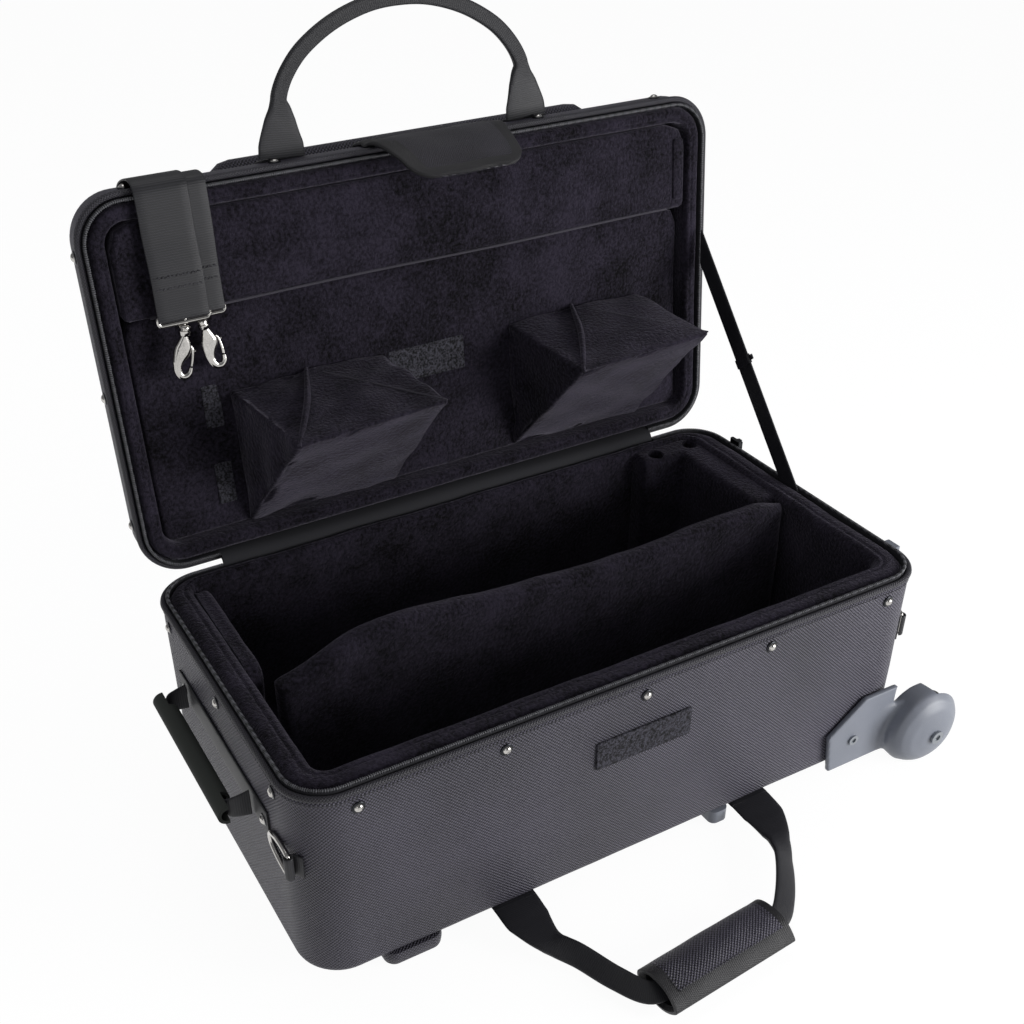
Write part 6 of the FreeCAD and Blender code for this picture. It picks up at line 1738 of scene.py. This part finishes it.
@dataclass
class Fittings(Assembly):
    """Bright rings and snap hooks, and the solids that stay in view."""

    frame: dict
    wire: float = 2.0
    d_wire: float = 2.1
    seat_y: float = -54.6
    lean_deg: float = 12.0

    def hung(self, name: str, points: Array, fall: Fall, **shape: object) -> Piece:
        """A part of a snap hook, turned by the hook's lean about its ring's seat.

        Args:
            name: the part's name.
            points: grid of places of the upright hook.
            fall: the end of the sling that it hangs from.
            shape: further settings of grid_piece.

        Returns:
            The part.
        """
        turn = math.radians(self.lean_deg) * fall.lean
        across = points[..., 0] - fall.x
        along = points[..., 1] - self.seat_y
        x = fall.x + across * math.cos(turn) - along * math.sin(turn)
        y = self.seat_y + across * math.sin(turn) + along * math.cos(turn)
        return grid_piece(name, np.stack([x, y, points[..., 2]], -1), self.case.lid, **shape)

    def snap_hooks(self) -> None:
        """Swivel barrel, curved hook and slim gate below each ring of the sling."""
        barrel = np.array([
            (-58.8, 0.6), (-58.8, 2.1), (-57.4, 2.2), (-57.2, 1.4), (-52.7, 1.4), (-52.4, 4.0), (-51.8, 4.9),
            (-50.3, 4.9), (-49.9, 4.0), (-48.4, 4.0), (-48.0, 4.8), (-44.6, 4.8), (-44.0, 4.0), (-43.4, 2.6),
            (-40.0, 2.4),
        ])
        bow = np.array([
            (0, -44.6, 5), (0, -41, 9.5), (-0.2, -36.5, 13.6), (-0.9, -32, 13.4), (-2.9, -27, 9.6),
            (-4.3, -22, 7), (-4.2, -16.5, 6.3), (-2, -12.2, 5.6), (2, -11, 5), (5.3, -13.6, 4.6),
            (6.6, -18.4, 3.2),
        ])
        gate = [(5.4, -35.5), (7.2, -33.0), (7.5, -26.0), (6.9, -19.6)]
        angle = circle(16)
        level = np.stack([np.cos(angle), np.zeros(16), np.sin(angle)], -1)
        for fall in FALLS:
            x, z = fall.x, fall.z
            turned = np.array([x, 0, z]) + level[None] * barrel[:, 1, None, None]
            turned[..., 1] = barrel[:, :1]
            made = [self.hung("barrel", turned, fall, sharp_deg=60)]
            path = curve_through([(x + dx, y, z) for dx, y, _ in bow], 56)
            section = changing(resampled(bow, 56)[:, 2], np.linspace(5.2, 4.2, 56), 16, 2.8)
            ways = np.cross(unit(np.gradient(path, axis=0)), UP)
            made.append(self.hung("bow", swept(path, section, ways), fall))
            node = "snap_hook_" + fall.word
            dress(joined(node + "_casting", made), Finishes.NICKEL, node, [node])
            path = curve_through([(x + dx, y, z) for dx, y in gate], 14)
            knob_at = np.array([(x + dx, -31.6, z) for dx in (7.4, 8.2, 9.0, 9.6)])
            lever = [
                self.hung("gate", swept(path, oval(2.6, 2.4, 10), ALONG), fall),
                self.hung("knob", swept(knob_at, oval(2.2, 2.2, 10), (0, 1, 0)), fall),
            ]
            node = "hook_gate_" + fall.word
            dress(joined(node + "_lever", lever), Finishes.NICKEL, node, [node])

    def sling_rings(self) -> None:
        """Rectangular wire ring at each end of the sling."""
        for fall in FALLS:
            plan = Plan(22.5 - self.wire, 5.5 - self.wire, 2.6, fall.x, -58.5, arc=5, side_x=8, side_y=2)
            ring, node = plan.rings([0], [fall.z])[0], "sling_ring_" + fall.word
            name = "sling_wire_" + fall.word
            self.tube(name, ring, self.wire, Finishes.NICKEL, node, "chrome", [node], looped=True)

    def d_rings(self) -> None:
        """Round-wire D-ring that lies along each end wall from its tab."""
        for word in ("left", "right"):
            node = "d_ring_" + word
            low, high = self.case.box(node)
            x, _, z = (low + high) / 2
            near, far = low[1] + 2.0, high[1] - 2.0
            bow = [
                (near, 0.0), (near, 7.5), (near + 1.4, 10.2), (near + 5, 11.4), (near + 16, 11.2),
                (near + 26, 9.0), (far - 2.0, 5.0), (far, 0.0),
            ]
            half = curve_through([(x, y, z + up) for y, up in bow], 40)
            other = half[::-1] * np.array([1, 1, -1]) + np.array([0, 0, 2 * z])
            ring = np.vstack([half, other[1:-1]])
            name, finish = "d_wire_" + word, Finishes.NICKEL
            self.tube(name, ring, self.d_wire, finish, node, "chrome", [node], looped=True)

    def solids(self) -> None:
        """Materials of the solids whose own shapes are shown."""
        kept = {
            Finishes.MOULDING: ["stand_feet", "plastic_feet"],
            Finishes.ZINC: ["bracket_bolts", "axle_bolts"],
            Finishes.TYRE: ["tyre_front", "tyre_back"],
            Finishes.HUB: ["hub_front", "hub_back"],
            Finishes.GRIP: ["grip_tube"],
            Finishes.RIVET: ["zip_slider", "zip_pull"],
        }
        for finish, nodes in kept.items():
            for node in nodes:
                materials = self.frame["nodes"][node].data.materials
                materials.clear()
                materials.append(finish.material())
                LOG.info("%s keeps its solid", node)

    def build(self) -> None:
        """Make the rings and hooks and dress the solids."""
        self.sling_rings()
        self.snap_hooks()
        self.d_rings()
        self.solids()


@dataclass
class Brackets(Assembly):
    """Moulded wheel brackets: wall plate, neck and domed housing in one soft body.

    The three are merged on a voxel grid and smoothed, so that they run into each
    other; the room of the wheel, its open side and the floor's clearance are cut after.
    """

    axle_x: float = 305.0
    axle_z: float = 33.0
    wall: float = 157.3
    plate: float = 5.6
    room_radius: float = 35.2
    room_start: float = 160.2
    room_end: float = 178.2
    voxel: float = 1.4

    def front(self, points: Array) -> Array:
        """Turns places with y measured outwards to the case's front."""
        return self.case.base(points * np.array([1.0, -1.0, 1.0]))

    def prism(self, outline: list[Spot], start: float, end: float) -> Piece:
        """An outline in x and z carried from one y to another."""
        rings = [[(x, y, z) for x, z in outline] for y in (start, end)]
        return grid_piece("prism", np.array(rings, float), self.front)

    def discs(self, rows: list[Spot]) -> Piece:
        """Circles of (y, centre x, centre z, radius) joined into one closed surface."""
        y, x, z, radius = np.array(rows).T[..., None]
        angle = circle(48)
        around = (x + radius * np.cos(angle), y, z + radius * np.sin(angle))
        return grid_piece("discs", np.stack(np.broadcast_arrays(*around), -1), self.front)

    def neck(self) -> Piece:
        """Arm from the plate to the housing, whose ovals of (x, centre z, half height, depth) grow."""
        rows = [(246, 40, 22, 4), (262, 40, 26, 7.5), (276, 38, 27, 11), (292, 36, 31, 18), (305, 34, 33, 24)]
        x, z, half, depth = np.array(rows).T[..., None]
        up, out = oval(2, 2, 32, 2.6).T
        points = np.stack(np.broadcast_arrays(x, self.wall + depth * (out + 0.98) / 2, z + half * up), -1)
        return grid_piece("neck", points, self.front)

    def moulding(self) -> Piece:
        """The front bracket: merge, smooth, cut."""
        x, z, wall = self.axle_x, self.axle_z, self.wall
        outline = [(207, 11.5), (270, 11.5), (276, 83), (239, 83), (201, 53)]
        housing = [
            (wall, x, z, 38), (172, x - 0.5, z + 0.5, 39), (178, x - 1.5, z + 2.5, 37),
            (183.5, x - 1.5, z + 2, 32.5), (187.5, x - 1, z + 1, 25.5), (190.2, x, z, 15), (191, x, z, 8),
            (191.2, x, z, 1),
        ]
        merged = [self.prism(outline, wall, wall + self.plate), self.neck(), self.discs(housing)]
        piece = joined("wheel_bracket_moulding_front", merged)
        modify(piece, "REMESH", mode="VOXEL", voxel_size=self.voxel * METRES)
        modify(piece, "SMOOTH", factor=0.5, iterations=9)
        mouth = [(x + 6, 84), (x + 50, 84), (x + 50, -14), (x - 40, -14), (x - 24, 5), (x + 1, z)]
        floor = [(x - 120, -16), (x + 60, -16), (x + 60, 2.0), (x - 120, 2.0)]
        cutters = [
            self.discs([(y, x, z, self.room_radius) for y in (self.room_start, self.room_end)]),
            self.prism(mouth, wall - 3, self.room_end),
            self.prism(floor, wall - 3, 200.0),
        ]
        for cutter in cutters:
            modify(piece, "BOOLEAN", object=cutter, solver="EXACT")
        applied(piece, cutters)
        smoothed(piece.data, 42)
        return piece

    def twin(self, front: Piece) -> Piece:
        """The back bracket: the front one mirrored in the case's middle plane."""
        mesh = front.data.copy()
        mesh.name = "wheel_bracket_moulding_back"
        middle = Matrix.Translation((0.0, 2 * self.case.shift[1], 0.0))
        mesh.transform(middle @ Matrix.Diagonal((1.0, -1.0, 1.0, 1.0)))
        mesh.flip_normals()
        return mesh_object(mesh.name, mesh)

    def build(self) -> None:
        """Make both brackets."""
        front = self.moulding()
        back = self.twin(front)
        dress(front, Finishes.MOULDING, "base", ["wheel_bracket_front"])
        dress(back, Finishes.MOULDING, "base", ["wheel_bracket_back"])


@dataclass
class Studio:
    """Pale floor, soft lamps and the camera at the photograph's angle."""

    case: Case
    eye: Spot = (-485.5, -767.2, 811.9)
    azimuth_deg: float = -28.31
    elevation_deg: float = 34.65
    roll_deg: float = -1.157
    lens: float = 45.48
    sensor: float = 36.0
    shift_x: float = 0.0463
    shift_y: float = 0.0778
    aim: Spot = (0.0, 0.0, 0.25)
    floor_half: float = 6.0
    floor_drop: float = 0.0004

    def camera(self) -> None:
        """Camera whose back direction has the given azimuth and elevation, then rolled."""
        a, e, r = (math.radians(v) for v in (self.azimuth_deg, self.elevation_deg, self.roll_deg))
        back = Vector((math.sin(a) * math.cos(e), -math.cos(a) * math.cos(e), math.sin(e)))
        right = Vector((math.cos(a), math.sin(a), 0.0))
        up = back.cross(right)
        turned_right = right * math.cos(r) + up * math.sin(r)
        turned_up = up * math.cos(r) - right * math.sin(r)
        data = bpy.data.cameras.new("view")
        data.lens = self.lens
        data.sensor_width = self.sensor
        data.shift_x = self.shift_x
        data.shift_y = self.shift_y
        data.clip_start = 0.01
        camera = bpy.data.objects.new("view", data)
        bpy.context.scene.collection.objects.link(camera)
        turn = Matrix((turned_right, turned_up, back)).transposed().to_4x4()
        camera.matrix_world = Matrix.Translation(Vector(self.case.base(np.array(self.eye)))) @ turn
        bpy.context.scene.camera = camera

    def lamp(self, name: str, place: Spot, size: float, watts: float) -> None:
        """One soft square lamp that looks at the case.

        Args:
            name: the lamp's name.
            place: its place in metres.
            size: length of its side in metres.
            watts: its power.
        """
        data = bpy.data.lights.new(name, "AREA")
        data.size = size
        data.energy = watts
        lamp = bpy.data.objects.new(name, data)
        lamp.location = place
        lamp.rotation_euler = (Vector(self.aim) - Vector(place)).to_track_quat("-Z", "Y").to_euler()
        bpy.context.scene.collection.objects.link(lamp)

    def floor(self) -> None:
        """White floor: partly self-bright to the camera, so its shadow stays soft."""
        mesh = bpy.data.meshes.new("floor")
        sides = ((-1, -1), (1, -1), (1, 1), (-1, 1))
        corners = [(x * self.floor_half, y * self.floor_half, 0) for x, y in sides]
        mesh.from_pydata(corners, [], [(0, 1, 2, 3)])
        floor = mesh_object("floor", mesh)
        floor.location.z = -self.floor_drop
        material = bpy.data.materials.new("studio_floor")
        tree = new_tree(material)
        rays = add_node(tree, "LightPath")
        either = {0: rays["Is Camera Ray"], 1: rays["Is Glossy Ray"]}
        seen = add_node(tree, "Math", either, operation="MAXIMUM")[0]
        matt = add_node(tree, "BsdfDiffuse", {"Color": linear("#e9e9ea")})[0]
        bright = add_node(tree, "Emission", {"Color": (1, 1, 1, 1), "Strength": 1.08})[0]
        share = add_node(tree, "Math", {0: seen, 1: 0.88}, operation="MULTIPLY")[0]
        mix = add_node(tree, "MixShader", {0: share, 1: matt, 2: bright})[0]
        add_node(tree, "OutputMaterial", {"Surface": mix})
        mesh.materials.append(material)

    def world(self) -> None:
        """Even pale surroundings, white where the camera sees them."""
        world = bpy.data.worlds.new("studio")
        bpy.context.scene.world = world
        tree = new_tree(world)
        rays = add_node(tree, "LightPath")
        light = add_node(tree, "Background", {"Color": linear("#f2f3f6"), "Strength": 0.25})[0]
        white = add_node(tree, "Background", {"Color": (1, 1, 1, 1), "Strength": 1.0})[0]
        mix = add_node(tree, "MixShader", {0: rays["Is Camera Ray"], 1: light, 2: white})[0]
        add_node(tree, "OutputWorld", {"Surface": mix})

    def build(self) -> None:
        """Set up the camera, lamps, floor and world."""
        bpy.context.scene.view_settings.view_transform = "Standard"
        self.camera()
        self.floor()
        self.world()
        self.lamp("key", (1.2, -1.3, 0.42), 0.9, 28.0)
        self.lamp("fill", (-1.5, -1.9, 0.9), 1.3, 4.0)
        self.lamp("top", (0.1, 0.5, 2.3), 1.4, 9.0)


def main() -> None:
    """Build every sub-assembly in order."""
    logging.basicConfig(level=logging.INFO, format="%(name)s: %(message)s")
    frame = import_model()
    case = Case.read()
    Studio(case).build()
    for kind in (Shells, Rim, BaseInside, LidInside, Flap, Handles, Straps, Trim):
        kind(case).build()
    Fittings(case, frame).build()
    Brackets(case).build()
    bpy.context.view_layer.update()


if __name__ == "__main__":
    main()
